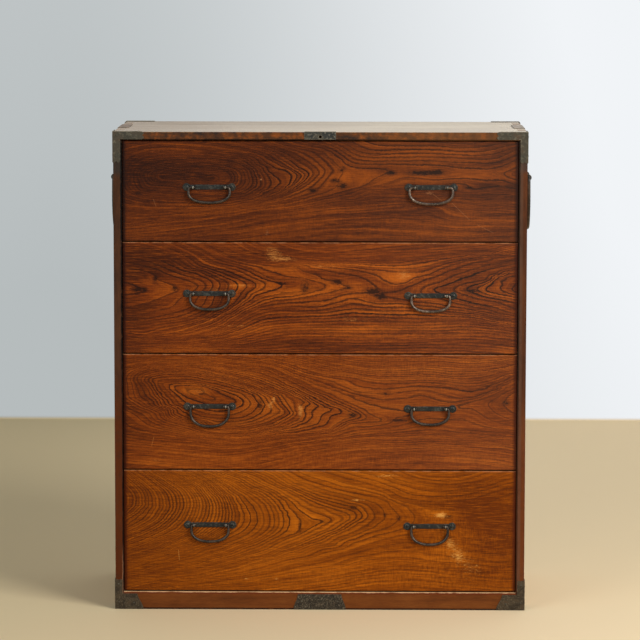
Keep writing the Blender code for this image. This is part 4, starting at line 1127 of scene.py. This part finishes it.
box_cross_wood = softwood("drawer_cross_softwood", 5.0, ACROSS_X, BOX_TONES, BOX_GREY, dirt=0.15)

BOARDS = {"top_board": top_wood, "side_board_left": side_wood, "side_board_right": side_wood}
for node in ("back_panel", "bottom_board", "shelf_1", "shelf_2", "shelf_3"):
    BOARDS[node] = back_wood
for number in RINGS:
    for place, wood in (("side_left", box_wood), ("side_right", box_wood), ("back", box_cross_wood),
                        ("bottom", box_cross_wood)):
        BOARDS[f"drawer_{number}_{place}"] = wood
for node, wood in BOARDS.items():
    dress(node, wood)
print("softwood boards dressed:", len(BOARDS))

# %% [markdown]
# ## Forged iron
#
# The iron was blackened and has since been rubbed: dark grey-green with brown rust in the hollows and a
# dull shine where hands touch it. Its edges carry a painted highlight as well as wear. Dents could be
# pressed into the meshes, but hammer marks are only a few millimetres across, so bumps in the shader are
# enough.

# %% Iron recipe
def forged_iron(name, black, brown, shine, rust, hammer=170.0, edge=0.0010, worn=None, bare=(176, 160, 136),
                patches=45.0, mottle=0.35, satin=0.30):
    """Blackened iron: hammer dents, fine pitting, rust patches, and rubbed edges with a painted highlight.

    hammer and patches count dents and patches per metre, mottle is the share of shine on the dents, and
    satin is the least roughness. Where worn is given, the iron is rubbed bare as a coordinate passes from
    one level to another: (coordinate, level without it, level with all of it). On the handle plates that
    band is instead a painted highlight on the fronts of the eyes, in the colour bare.
    """
    finish = Finish(name, metallic=0.7)
    dent = finish.noise(EVEN, hammer, detail=1.0)
    pit = finish.noise(EVEN, 900.0, rough=0.6)
    patch = finish.noise(EVEN, patches, detail=4.0, rough=0.65)
    metal = finish.mix(finish.step(patch, 0.40, 0.62), black, brown)
    metal = finish.mix(finish.step(dent, 0.50, 0.75, 0.0, mottle), metal, shine)
    hollow = finish.sum(patch, finish.times(pit, 0.3))
    metal = finish.mix(finish.step(hollow, 0.76, 0.88, 0.0, 0.7), metal, rust)
    if worn:
        axis, without, full = worn
        high = finish.step(finish.sum(patch, finish.times(dent, 0.5)), 0.86, 0.66, 0.25, 0.85)
        metal = finish.mix(finish.times(finish.step(finish.axes[axis], without, full), high), metal, bare)
    # Rubbed edges in the shine colour: worn metal, and a painted highlight where edges would catch the light
    rubbed = finish.times(finish.edges(edge), finish.step(pit, 0.3, 0.6, 0.4, 0.9))
    metal = finish.mix(rubbed, metal, shine)
    rough = finish.sum(finish.times(patch, 0.3), finish.times(pit, 0.15), satin)
    return finish.paint(metal, rough, [(0.00035, dent), (0.00006, pit)], soft=0.0005)

# %% [markdown]
# ## Kinds of iron
#
# No two irons have aged alike: plates are blackest, bails are polished by hands, and the sheets near the
# floor are brown. Two bails at the right are also painted lighter as lit, and the fronts of the plates'
# eyes carry a painted highlight. One iron for all would look cast in one piece. The flat sheets keep their
# solids, and a small bevel rolls their edges.

# %% Irons
HINGE_Y = hinges["drawer_1_bail_left_swing"][1]
IRON_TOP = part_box("lock_plate")[1].z
ON_TOP = (Z, IRON_TOP - 0.0008, IRON_TOP - 0.0002)
# On the plates the worn band is a painted highlight on the fronts of the eyes
plate_iron = forged_iron("blackened_plate_iron", (33, 35, 34), (45, 42, 37), (150, 150, 138), (72, 52, 36),
                         edge=0.0008, worn=(Y, HINGE_Y - 0.0030, HINGE_Y - 0.0052), bare=(146, 141, 128),
                         mottle=0.12)
bail_iron = forged_iron("rubbed_bail_iron", (46, 40, 36), (74, 61, 51), (150, 132, 114), (84, 58, 38),
                        hammer=220.0, satin=0.18, mottle=0.1)
# A lighter copy of the bail iron: rubbed more, and painted lighter as lit
bright_bail_iron = forged_iron("bright_bail_iron", (62, 51, 44), (102, 85, 73), (200, 178, 156), (86, 60, 44),
                               hammer=220.0, satin=0.12, mottle=0.25)
corner_iron = forged_iron("corner_sheet_iron", (61, 59, 50), (71, 64, 53), (128, 121, 102), (80, 60, 42),
                          hammer=120.0, worn=ON_TOP)
lock_iron = forged_iron("lock_sheet_iron", (43, 45, 44), (76, 72, 61), (160, 151, 133), (76, 56, 40),
                        hammer=230.0, edge=0.0016, worn=ON_TOP)
foot_iron = forged_iron("foot_sheet_iron", (44, 39, 32), (64, 56, 44), (114, 104, 86), (74, 54, 36),
                        hammer=330.0, patches=120.0, mottle=0.8)
low_corner_iron = forged_iron("low_corner_iron", (52, 43, 32), (74, 62, 46), (112, 102, 82), (80, 58, 36),
                              hammer=330.0, patches=80.0, mottle=0.5)
# The left handle's sheet is rusty where it is folded over the top, and the right one is worn pale in spots
fold_irons = {}
for word, bare, patches in (("left", (184, 152, 128), 60.0), ("right", (206, 184, 160), 110.0)):
    fold_irons[word] = forged_iron(f"folded_sheet_iron_{word}", (66, 63, 54), (80, 70, 56), (140, 131, 110),
                                   (92, 68, 48), hammer=150.0, worn=ON_TOP, bare=bare, patches=patches,
                                   mottle=0.3)
FLAT_IRONS = {"lock_plate": lock_iron, "foot_plate": foot_iron, "corner_iron_bottom_left": low_corner_iron,
              "corner_iron_bottom_right": low_corner_iron}
for node in nodes:
    if any(word in node for word in ("iron", "lock_plate", "foot_plate")):
        dress(node, FLAT_IRONS.get(node, corner_iron))
        rolled = nodes[node].modifiers.new("rolled_edges", "BEVEL")
        rolled.width = 0.0003
        rolled.segments = 2
        rolled.limit_method = "ANGLE"
        rolled.angle_limit = math.radians(40)
print("iron finishes:", 9)

# %% [markdown]
# ## Shapes of forged parts
#
# A smith draws a bar out, bends it and flattens it. Curves with a round bevel would give even wires, but
# forged bars change their thickness, so each part here is a section carried along a line of points. A
# nail head is a set of rings from its crown to its rim.

# %% Shapes of forged parts
def squared(wave, squareness):
    """A sine or cosine pressed towards -1 and 1: a section made of one of each is a rounded square."""
    return np.sign(wave) * np.abs(wave) ** (2 / squareness)


def sweep(centre, across, out, radius, sides=20, squareness=2.0, flat=1.0):
    """A closed section carried along a line: radius times a rounded square in the two directions given."""
    turn = np.linspace(0, 2 * math.pi, sides, endpoint=False)
    wide = squared(np.cos(turn), squareness)[None, :, None]
    high = flat * squared(np.sin(turn), squareness)[None, :, None]
    radius = np.broadcast_to(radius, len(centre))[:, None, None]
    return centre[:, None] + radius * (wide * across[:, None] + high * out[:, None])


def turned(axis, *rows):
    """Rows of x, y, z for a hinge along X (axis 0), or with x and y exchanged for one along Y (axis 1)."""
    return [row[:, [1, 0, 2]] if axis else row for row in rows]


def eye(place, axis, outer, bore, length):
    """A ring round the hinge line: a rounded rectangle carried round a circle."""
    turn = np.linspace(0, 2 * math.pi, 33)
    radial = np.stack([np.zeros_like(turn), np.cos(turn), np.sin(turn)], axis=-1)
    radial, along = turned(axis, radial, np.broadcast_to([1.0, 0.0, 0.0], radial.shape))
    middle, half = (outer + bore) / 2, (outer - bore) / 2
    points = sweep(middle * radial, radial, along, half, 16, 3.0, length / 2 / half)
    return skin(np.asarray(place) + points, capped=False)


def dome(place, normal, radius, height):
    """A nail head: rings of points from its crown out to its rim, then in to the middle of its base."""
    normal = np.asarray(normal, float)
    first = np.cross(normal, [0.31, 0.52, 0.79])
    first /= np.linalg.norm(first)
    second = np.cross(normal, first)
    turn = np.linspace(0, 2 * math.pi, 18, endpoint=False)
    circle = np.cos(turn)[:, None] * first + np.sin(turn)[:, None] * second
    out = radius * np.array([0.001, 0.3, 0.58, 0.8, 0.94, 1.0, 1.0, 0.001])
    up = height * np.array([1.0, 0.95, 0.80, 0.57, 0.30, 0.0, -0.25, -0.25])
    return skin(np.asarray(place) + out[:, None, None] * circle + up[:, None, None] * normal)

# %% [markdown]
# ## Straps
#
# Each drawer handle hangs on a narrow strap with a round lobe at each end. Two eyes on split shanks go
# through the strap and the front and are bent over behind it. The strap could be cut from a flat outline,
# but then its edges would be sharp, so it is a rounded section whose height follows the outline.

# %% Straps
HALF_PLATE = 0.058
LOBE = 0.0085
STRAP = 0.0055
FACE_GAP = 0.0003
PLATE = 0.0015
CLINCH_REACH = 0.0108
CLINCH_HALF, CLINCH_LIFT, TIP_SINK = 0.0017, 0.0013, 0.0004


def strap_plate(x, face, z):
    """Half height along the strap: a bar that swells into a circle at each end, edges rounded over."""
    along = HALF_PLATE * np.cos(np.linspace(0, math.pi, 121))
    lobe = np.sqrt(np.clip(LOBE ** 2 - (np.abs(along) - (HALF_PLATE - LOBE)) ** 2, 0, None))
    strap = STRAP * (0.95 + 0.05 * np.cos(along * 60)) * (np.abs(along) < HALF_PLATE - LOBE)
    half = np.maximum((lobe ** 6 + strap ** 6) ** (1 / 6), 1e-5)
    section = np.linspace(0, 2 * math.pi, 28, endpoint=False)
    points = np.empty((len(along), len(section), 3))
    points[..., 0] = x + along[:, None]
    points[..., 1] = face - FACE_GAP - PLATE / 2 - PLATE / 2 * squared(np.cos(section), 3.0)
    points[..., 2] = z + half[:, None] * squared(np.sin(section), 7.0)
    return skin(points)


def clinch(x, back, z):
    """Two legs of an eye's split shank, bent flat against the back of the front, thinner at their tips."""
    reach = np.linspace(-CLINCH_REACH, CLINCH_REACH, 15)
    share = np.abs(reach / CLINCH_REACH)
    centre = np.stack([np.full_like(reach, x), back + CLINCH_LIFT - TIP_SINK * share, z + reach], axis=-1)
    across = np.broadcast_to([1.0, 0.0, 0.0], centre.shape)
    out = np.broadcast_to([0.0, 1.0, 0.0], centre.shape)
    return skin(sweep(centre, across, out, CLINCH_HALF * (1 - 0.35 * share ** 3), 12, 4.0, 0.55))

# %% [markdown]
# ## Bails
#
# A bail is a bar that was bent to shape, drawn thinner towards its tips and ended in a small knob inside
# each eye. It could be a half ring, but a forged one is squarer, so its line joins quarters of rounded
# rectangles. The same function makes the big ones at the sides.

# %% Bails
Bail = namedtuple("Bail", "bar tip knob knob_length post eye bore eye_length shoulder")
DRAWER_BAIL = Bail(bar=0.0032, tip=0.0025, knob=0.0036, knob_length=0.0032, post=0.0353,
                   eye=0.0050, bore=0.0031, eye_length=0.0034, shoulder=0.012)
KNOB_EDGE = 0.0008


def quarter(centre, reach, rise, squareness, steps):
    """A quarter of a rounded rectangle, from straight below its centre round to its side."""
    angle = np.linspace(0, math.pi / 2, steps)
    return np.stack([centre[0] + reach * np.sin(angle) ** (2 / squareness),
                     centre[1] + rise * np.cos(angle) ** (2 / squareness)], axis=-1)


def evenly(points, count):
    """The same line with its points evenly spaced along it."""
    length = np.concatenate([[0], np.cumsum(np.linalg.norm(np.diff(points, axis=0), axis=1))])
    at = np.linspace(0, length[-1], count)
    return np.stack([np.interp(at, length, points[:, k]) for k in range(points.shape[1])], axis=-1)


def bail_line(half_width, drop, sizes):
    """The bar's middle line, from knob to knob: it drops at the shoulders and runs round below."""
    outer = sizes.post + sizes.eye_length / 2 + GAP
    inner = sizes.post - sizes.eye_length / 2 - GAP
    low = quarter((0, sizes.shoulder), half_width, drop - sizes.shoulder, 2.3, 60)
    top = quarter((outer, sizes.shoulder), half_width - outer, -sizes.shoulder, 3.0, 30)[::-1][1:]
    half = np.concatenate([low, top, [[inner - sizes.knob_length, 0]]])
    return evenly(np.concatenate([half[:0:-1] * [-1, 1], half]), 161), inner


def bail_radius(across, down, drop, inner, sizes, seed):
    """From the tip's radius to the bar's as it goes down, more on the knobs, and uneven by 2.5 percent."""
    past = inner - np.abs(across)
    on_tip = (down < 1e-4) & (past > 0)
    rounding = np.minimum(past, sizes.knob_length - past + KNOB_EDGE / 2) / KNOB_EDGE
    swell = np.where(on_tip, np.clip(rounding, 0, 1), 0)
    radius = (sizes.tip + (sizes.bar - sizes.tip) * np.clip(2 * down / drop, 0, 1)
              + (sizes.knob - sizes.tip) * np.sqrt(swell))
    radius = radius * (1 + 0.025 * np.sin(across * 900 + seed) * np.sin(down * 700 + 2 * seed))
    radius[0] = radius[-1] = sizes.knob * 0.55
    return radius


def bail(node, hinge, sizes, axis, seed):
    """A bar bent round below the hinge line, as wide and as deep as its solid's box."""
    low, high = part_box(node)
    half_width = (high[axis] - low[axis]) / 2 - (sizes.bar + sizes.tip) / 2
    drop = hinge[2] - low.z - sizes.bar
    line, inner = bail_line(half_width, drop, sizes)
    across, down = line.T
    tangent = np.gradient(line, axis=0)
    tangent /= np.linalg.norm(tangent, axis=1)[:, None]
    zero = np.zeros_like(across)
    centre = np.stack([across, zero, -down], axis=-1)
    normal = np.stack([tangent[:, 1], zero, tangent[:, 0]], axis=-1)
    out = np.broadcast_to([0.0, 1.0, 0.0], centre.shape)
    centre, normal, out = turned(axis, centre, normal, out)
    radius = bail_radius(across, down, drop, inner, sizes, seed)
    print(node, "half width and drop in mm:", round(1000 * half_width, 1), round(1000 * drop, 1))
    return skin(np.asarray(hinge) + sweep(centre, normal, out, radius))

# %% [markdown]
# ## Drawer handles
#
# Eight handles sit in pairs, one pair on each drawer. One handle could be made and copied, but the real
# ones differ a little, so each is made at its own hinge, and its own drawer carries it. Two bails at the
# right are used most and shine: rubbed, and painted lighter as lit.

# %% Drawer handles
STRAP_NAIL = (0.0037, 0.0016)  # radius and height of its head
FORWARD = (0, -1, 0)

for number in RINGS:
    face, back = (corner.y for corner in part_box(f"drawer_{number}_front"))
    for word in ("left", "right"):
        hinge = hinges[f"drawer_{number}_bail_{word}_swing"]
        x, y, z = hinge
        shells = [strap_plate(x, face, z)]
        for side in (-1, 1):
            post = x + side * DRAWER_BAIL.post
            head = (x + side * (HALF_PLATE - LOBE), face - FACE_GAP - PLATE, z)
            shells += [eye((post, y, z), X, DRAWER_BAIL.eye, DRAWER_BAIL.bore, DRAWER_BAIL.eye_length),
                       dome(head, FORWARD, *STRAP_NAIL), clinch(post, back, z)]
        make_piece(f"handle_plate_{number}_{word}", shells, plate_iron, f"drawer_{number}",
                   [f"drawer_{number}_handle_plate_{word}"])
        node = f"drawer_{number}_bail_{word}"
        # The right bails of the two upper drawers get the iron that is rubbed and painted lighter as lit
        rubbed = number < 3 and word == "right"
        make_piece(f"bail_{number}_{word}", [bail(node, hinge, DRAWER_BAIL, X, number)],
                   bright_bail_iron if rubbed else bail_iron, node, [node])

# %% [markdown]
# ## Sheets of the carrying handles
#
# Each side handle hangs on a sheet that is folded over the top edge, so that lifting pulls on the fold
# and not on the nails. A thin box could be bent by a modifier, but its bend would shift with the number
# of its faces. The sheet here is a section, from its scalloped lower edge up the side, round the fold and
# back along its inner face, carried along the depth.

# %% Folded sheets
SHEET = 0.0012
FOLD, FOLD_RADIUS = 0.025, 0.0015
SCALLOP = 0.004
DENT = 0.00008


def sheet_path(outer_x, top, scallop, depth, radius):
    """Distance from the middle and height, from the lower edge to the fold's end, at a depth in the sheet."""
    rise, turn, inward = np.linspace(0, 1, 46), np.linspace(0, math.pi / 2, 9), np.linspace(0, 1, 10)
    start = top - depth - radius
    climb = scallop[:, None] + (start - scallop[:, None]) * rise
    bend_x = outer_x - depth - radius + radius * np.cos(turn)
    bend_z = start + radius * np.sin(turn)
    over_x = outer_x - depth - radius - (FOLD - depth - radius) * inward[1:]
    wide = np.ones((len(scallop), 1))
    x = np.concatenate([np.full_like(climb, outer_x - depth), wide * bend_x[1:], wide * over_x], axis=1)
    z = np.concatenate([climb, wide * bend_z[1:], np.full((len(scallop), len(over_x)), top - depth)], axis=1)
    return x, z


def folded_sheet(outer_x, top, y, half, low, side):
    """The sheet's section at each place along y. Hammer marks, products of waves, press its outer face in."""
    along = np.linspace(-half, half, 91)
    scallop = low + SCALLOP * np.abs(np.sin(math.pi * (along / half + 1)))
    out_x, out_z = sheet_path(outer_x, top, scallop, 0.0, FOLD_RADIUS)
    in_x, in_z = sheet_path(outer_x, top, scallop, SHEET, FOLD_RADIUS - SHEET)
    wave = np.sin(410 * along[:, None] + 90 * out_z) * np.sin(370 * out_z - 60 * along[:, None])
    on_wall = out_z < top - 2 * FOLD_RADIUS
    out_x = out_x - DENT * (1 + wave) * on_wall
    points = np.empty((len(along), out_x.shape[1] * 2, 3))
    points[..., 0] = side * np.concatenate([out_x, in_x[:, ::-1]], axis=1)
    points[..., 1] = (y + along)[:, None]
    points[..., 2] = np.concatenate([out_z, in_z[:, ::-1]], axis=1)
    return skin(points)


def bar(start, end, half, flat=1.0):
    """A short bar from start to end, drawn in at its ends: flat is its second half width over the first."""
    start, end = np.array(start, float), np.array(end, float)
    share = np.linspace(0, 1, 17)
    centre = start + (end - start) * share[:, None]
    line = (end - start) / np.linalg.norm(end - start)
    out = np.array([0.0, 1.0, 0.0])
    rounded = np.clip(np.minimum(share, 1 - share) / 0.02, 0, 1) * 0.12 + 0.88
    wide = np.ones((len(share), 1))
    return skin(sweep(centre, wide * np.cross(out, line), wide * out, half * rounded, 16, 5.0, flat))

# %% [markdown]
# ## Carrying handles
#
# The side handles are the drawer handles' big brothers: the sheet, two eyes on shanks that go through the
# side board and are bent over inside, nails, and a thick bail. They use the same shapes with bigger
# sizes, turned so that the hinge runs along the depth.

# %% Carrying handles
SIDE_BAIL = Bail(bar=0.0048, tip=0.0042, knob=0.0056, knob_length=0.005, post=0.049,
                 eye=0.0074, bore=0.0049, eye_length=0.0062, shoulder=0.014)
SHANK, SHANK_START = 0.0026, 0.001  # half thickness, and how far into the eye's ring it starts
SIDE_CLINCH, CLINCH_FLAT = 0.001, 2.6
SHEET_NAIL = (0.0033, 0.0014)
# Distance along the depth and height of each nail, from the middle of the hinge
SHEET_NAILS = ((0.057, 0.012), (0.057, -0.010), (0.030, 0.098), (0.0, -0.008), (0.057, 0.098))
outer_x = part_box("rear_corner_iron_right")[1].x
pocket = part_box("side_board_right")[0].x + GAP

for word, side in (("left", -1), ("right", 1)):
    node = f"side_handle_plate_{word}"
    low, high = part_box(node)
    hinge = hinges[f"side_bail_{word}_swing"]
    x, y, z = hinge
    shells = [folded_sheet(outer_x, high.z, y, (high.y - low.y) / 2, low.z, side)]
    for end in (-1, 1):
        post = y + end * SIDE_BAIL.post
        inside = side * (pocket + SIDE_CLINCH)
        shells += [eye((x, post, z), Y, SIDE_BAIL.eye, SIDE_BAIL.bore, SIDE_BAIL.eye_length),
                   bar((x - side * (SIDE_BAIL.bore + SHANK_START), post, z), (side * pocket, post, z), SHANK),
                   bar((inside, post, z - CLINCH_REACH), (inside, post, z + CLINCH_REACH), SIDE_CLINCH,
                       CLINCH_FLAT)]
        for across, level in SHEET_NAILS:
            if across or end > 0:
                head = (side * outer_x, y + end * across, z + level)
                shells.append(dome(head, (side, 0, 0), *SHEET_NAIL))
    make_piece(f"side_plate_{word}", shells, fold_irons[word], "carcass", [node])
    bail_node = f"side_bail_{word}"
    make_piece(f"carrying_bail_{word}", [bail(bail_node, hinge, SIDE_BAIL, Y, 5.0)], bail_iron,
               bail_node, [bail_node])

# %% [markdown]
# ## Nails in the irons
#
# Hand-forged nails hold every sheet. Their heads could be bumps in the iron's finish, but real heads stand
# proud of it and catch the light, so each is a small dome. All of them are one piece, because they never
# move apart.

# %% Nails in the irons
FLAT_HEAD, ROUND_HEAD, SMALL_HEAD = (0.0021, 0.0008), (0.0026, 0.0011), (0.0018, 0.0008)
# Distance in from the outer corner of the irons, and height above the floor
FRONT_NAILS = ((0.009, 1.0520), (0.040, 1.0525), (0.0085, 1.006), (0.009, 0.016), (0.042, 0.014),
               (0.0085, 0.056))
UPPER_SIDE_NAILS = ((0.011, 1.050), (0.052, 1.050), (0.011, 1.008))
LOWER_SIDE_NAILS = ((0.011, 0.014), (0.050, 0.014), (0.011, 0.052))
# Distance from the middle, height above the floor, and head
PLATE_NAILS = ((0.028, 1.0515, SMALL_HEAD), (0.040, 0.018, FLAT_HEAD))
front_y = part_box("corner_iron_top_left")[0].y
rear_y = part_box("rear_corner_iron_left")[1].y
iron_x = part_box("corner_iron_top_right")[1].x

heads = []
for side in (-1, 1):
    sideways = (side, 0, 0)
    for inset, level in FRONT_NAILS:
        heads.append(dome((side * (iron_x - inset), front_y, level), FORWARD, *FLAT_HEAD))
    for inset, level in UPPER_SIDE_NAILS:
        heads.append(dome((side * iron_x, front_y + inset, level), sideways, *ROUND_HEAD))
        heads.append(dome((side * iron_x, rear_y - inset, level), sideways, *ROUND_HEAD))
    for inset, level in LOWER_SIDE_NAILS:
        heads.append(dome((side * iron_x, front_y + inset, level), sideways, *ROUND_HEAD))
    for off_middle, level, head in PLATE_NAILS:
        heads.append(dome((side * off_middle, front_y, level), FORWARD, *head))
make_piece("iron_nails", heads, corner_iron, "carcass")
print("nail heads:", len(heads))

# %% [markdown]
# ## Floor and backdrop
#
# A pale floor runs into a pale backdrop, and on behind it. One bent sheet would do for the front view.
# Here the backdrop is seen from its front only and the floor goes on behind it, so that the chest can be
# looked at from behind as well.

# %% Stage
FLOOR_END = 9.0
WALL_Y, WALL_TOP = 2.68, 5.0
BEND = 0.012
BELOW = 0.0002
# The floor is painted darker to the left, a painted shade; the wall glows at a painted brightness, darker to
# the left and lighter to the right
FLOOR_LEFT, FLOOR_RIGHT = (220, 200, 158), (246, 223, 182)
WALL_LEFT, WALL_RIGHT = (182, 188, 189), (241, 244, 247)


def stage_sheets():
    """Two sheets carried along X: level, round a small bend and straight up, and level behind the wall."""
    turn = np.linspace(0, math.pi / 2, 12)
    bend_y = WALL_Y - BEND + BEND * np.sin(turn)
    bend_z = BEND - BEND * np.cos(turn)
    front_y = np.concatenate([np.linspace(-FLOOR_END, WALL_Y - 2 * BEND, 12), bend_y, [WALL_Y]])
    front_z = np.concatenate([np.zeros(12), bend_z, [WALL_TOP]])
    behind_y = np.linspace(WALL_Y - BEND, FLOOR_END, 12)
    x = np.linspace(-FLOOR_END, FLOOR_END, 25)
    sheets = []
    for y, z in ((front_y, front_z), (behind_y, np.zeros(12))):
        sheet = np.empty((len(x), len(y), 3))
        sheet[..., 0], sheet[..., 1], sheet[..., 2] = x[:, None], y, z - BELOW
        sheets.append(skin(sheet, wrap=False, capped=False))
    return sheets


def stage_finish():
    """A warm pale floor in real light, painted darker to the left as shade, and a wall that the camera and
    reflections see glowing at a painted brightness.

    The wall's painted light is a sum of the way across, the height and a cloud.
    """
    finish = Finish("pale_stage", specular=0.2)
    cloud = finish.noise(EVEN, 0.8)
    # Painted shade: the floor darker to the left
    floor = finish.mix(finish.step(finish.x, -1.0, 0.6), FLOOR_LEFT, FLOOR_RIGHT)
    across = finish.step(finish.x, -0.9, 1.1)
    painted_wall_light = finish.sum(across, finish.times(cloud, 0.1), finish.times(finish.z, 0.12), -0.1)
    wall = finish.mix(painted_wall_light, WALL_LEFT, WALL_RIGHT)
    on_wall = finish.step(finish.z, 0.0, BEND)
    finish.paint(finish.mix(on_wall, floor, wall), 0.8)
    # The wall glows with its painted light for the camera and reflections
    glow = finish.joined(finish.add("Emission"), wall)
    both = finish.blend(finish.times(finish.seen(), on_wall), finish.shader.outputs[0], glow)
    from_behind = finish.times(finish.add("NewGeometry").outputs["Backfacing"], on_wall)
    one_way = finish.blend(from_behind, both, finish.add("BsdfTransparent").outputs[0])
    finish.feed(finish.tree.nodes["Material Output"].inputs["Surface"], one_way)
    return finish.material


stage_mesh = mesh_of("stage", stage_sheets())
stage_mesh.materials.append(stage_finish())
stage = put_in_scene("stage", stage_mesh)

# %% [markdown]
# ## Light
#
# A window at the right lights the chest, and the room brightens its left side a little. A picture of a
# real room could light it too, but two big soft lamps are enough. The sky's light is even, so a colour
# shows about as it is written, and the camera sees a pale grey instead of the sky.

# %% Light
LAMPS_FACE = Vector((0.0, 0.0, 0.5))
SKY, SKY_STRENGTH, PALE_GREY = (0.93, 0.96, 1.0, 1.0), 0.28, (214, 219, 222)


def lamp(name, place, size, power, colour):
    """A square soft lamp that faces the middle of the chest."""
    light = bpy.data.lights.new(name, "AREA")
    light.shape = "SQUARE"
    light.size = size
    light.energy = power
    light.color = colour
    turn = (Vector(place) - LAMPS_FACE).to_track_quat("Z", "Y").to_matrix().to_4x4()
    put_in_scene(name, light).matrix_world = Matrix.Translation(place) @ turn


lamp("window", (3.2, -3.4, 2.9), size=2.4, power=225.0, colour=(1.0, 0.99, 0.97))
lamp("room", (-3.0, -4.0, 2.2), size=2.8, power=65.0, colour=(0.97, 0.98, 1.0))
world = bpy.data.worlds.new("even_sky")
bpy.context.scene.world = world
world.use_nodes = True
around = Nodes(world.node_tree)
sky = around.tree.nodes["Background"]
sky.inputs["Color"].default_value = SKY
sky.inputs["Strength"].default_value = SKY_STRENGTH
pale = around.joined(around.add("Background"), PALE_GREY)
whole = around.blend(around.seen(), sky.outputs[0], pale)
around.feed(around.tree.nodes["World Output"].inputs["Surface"], whole)
print("lamps:", 2)
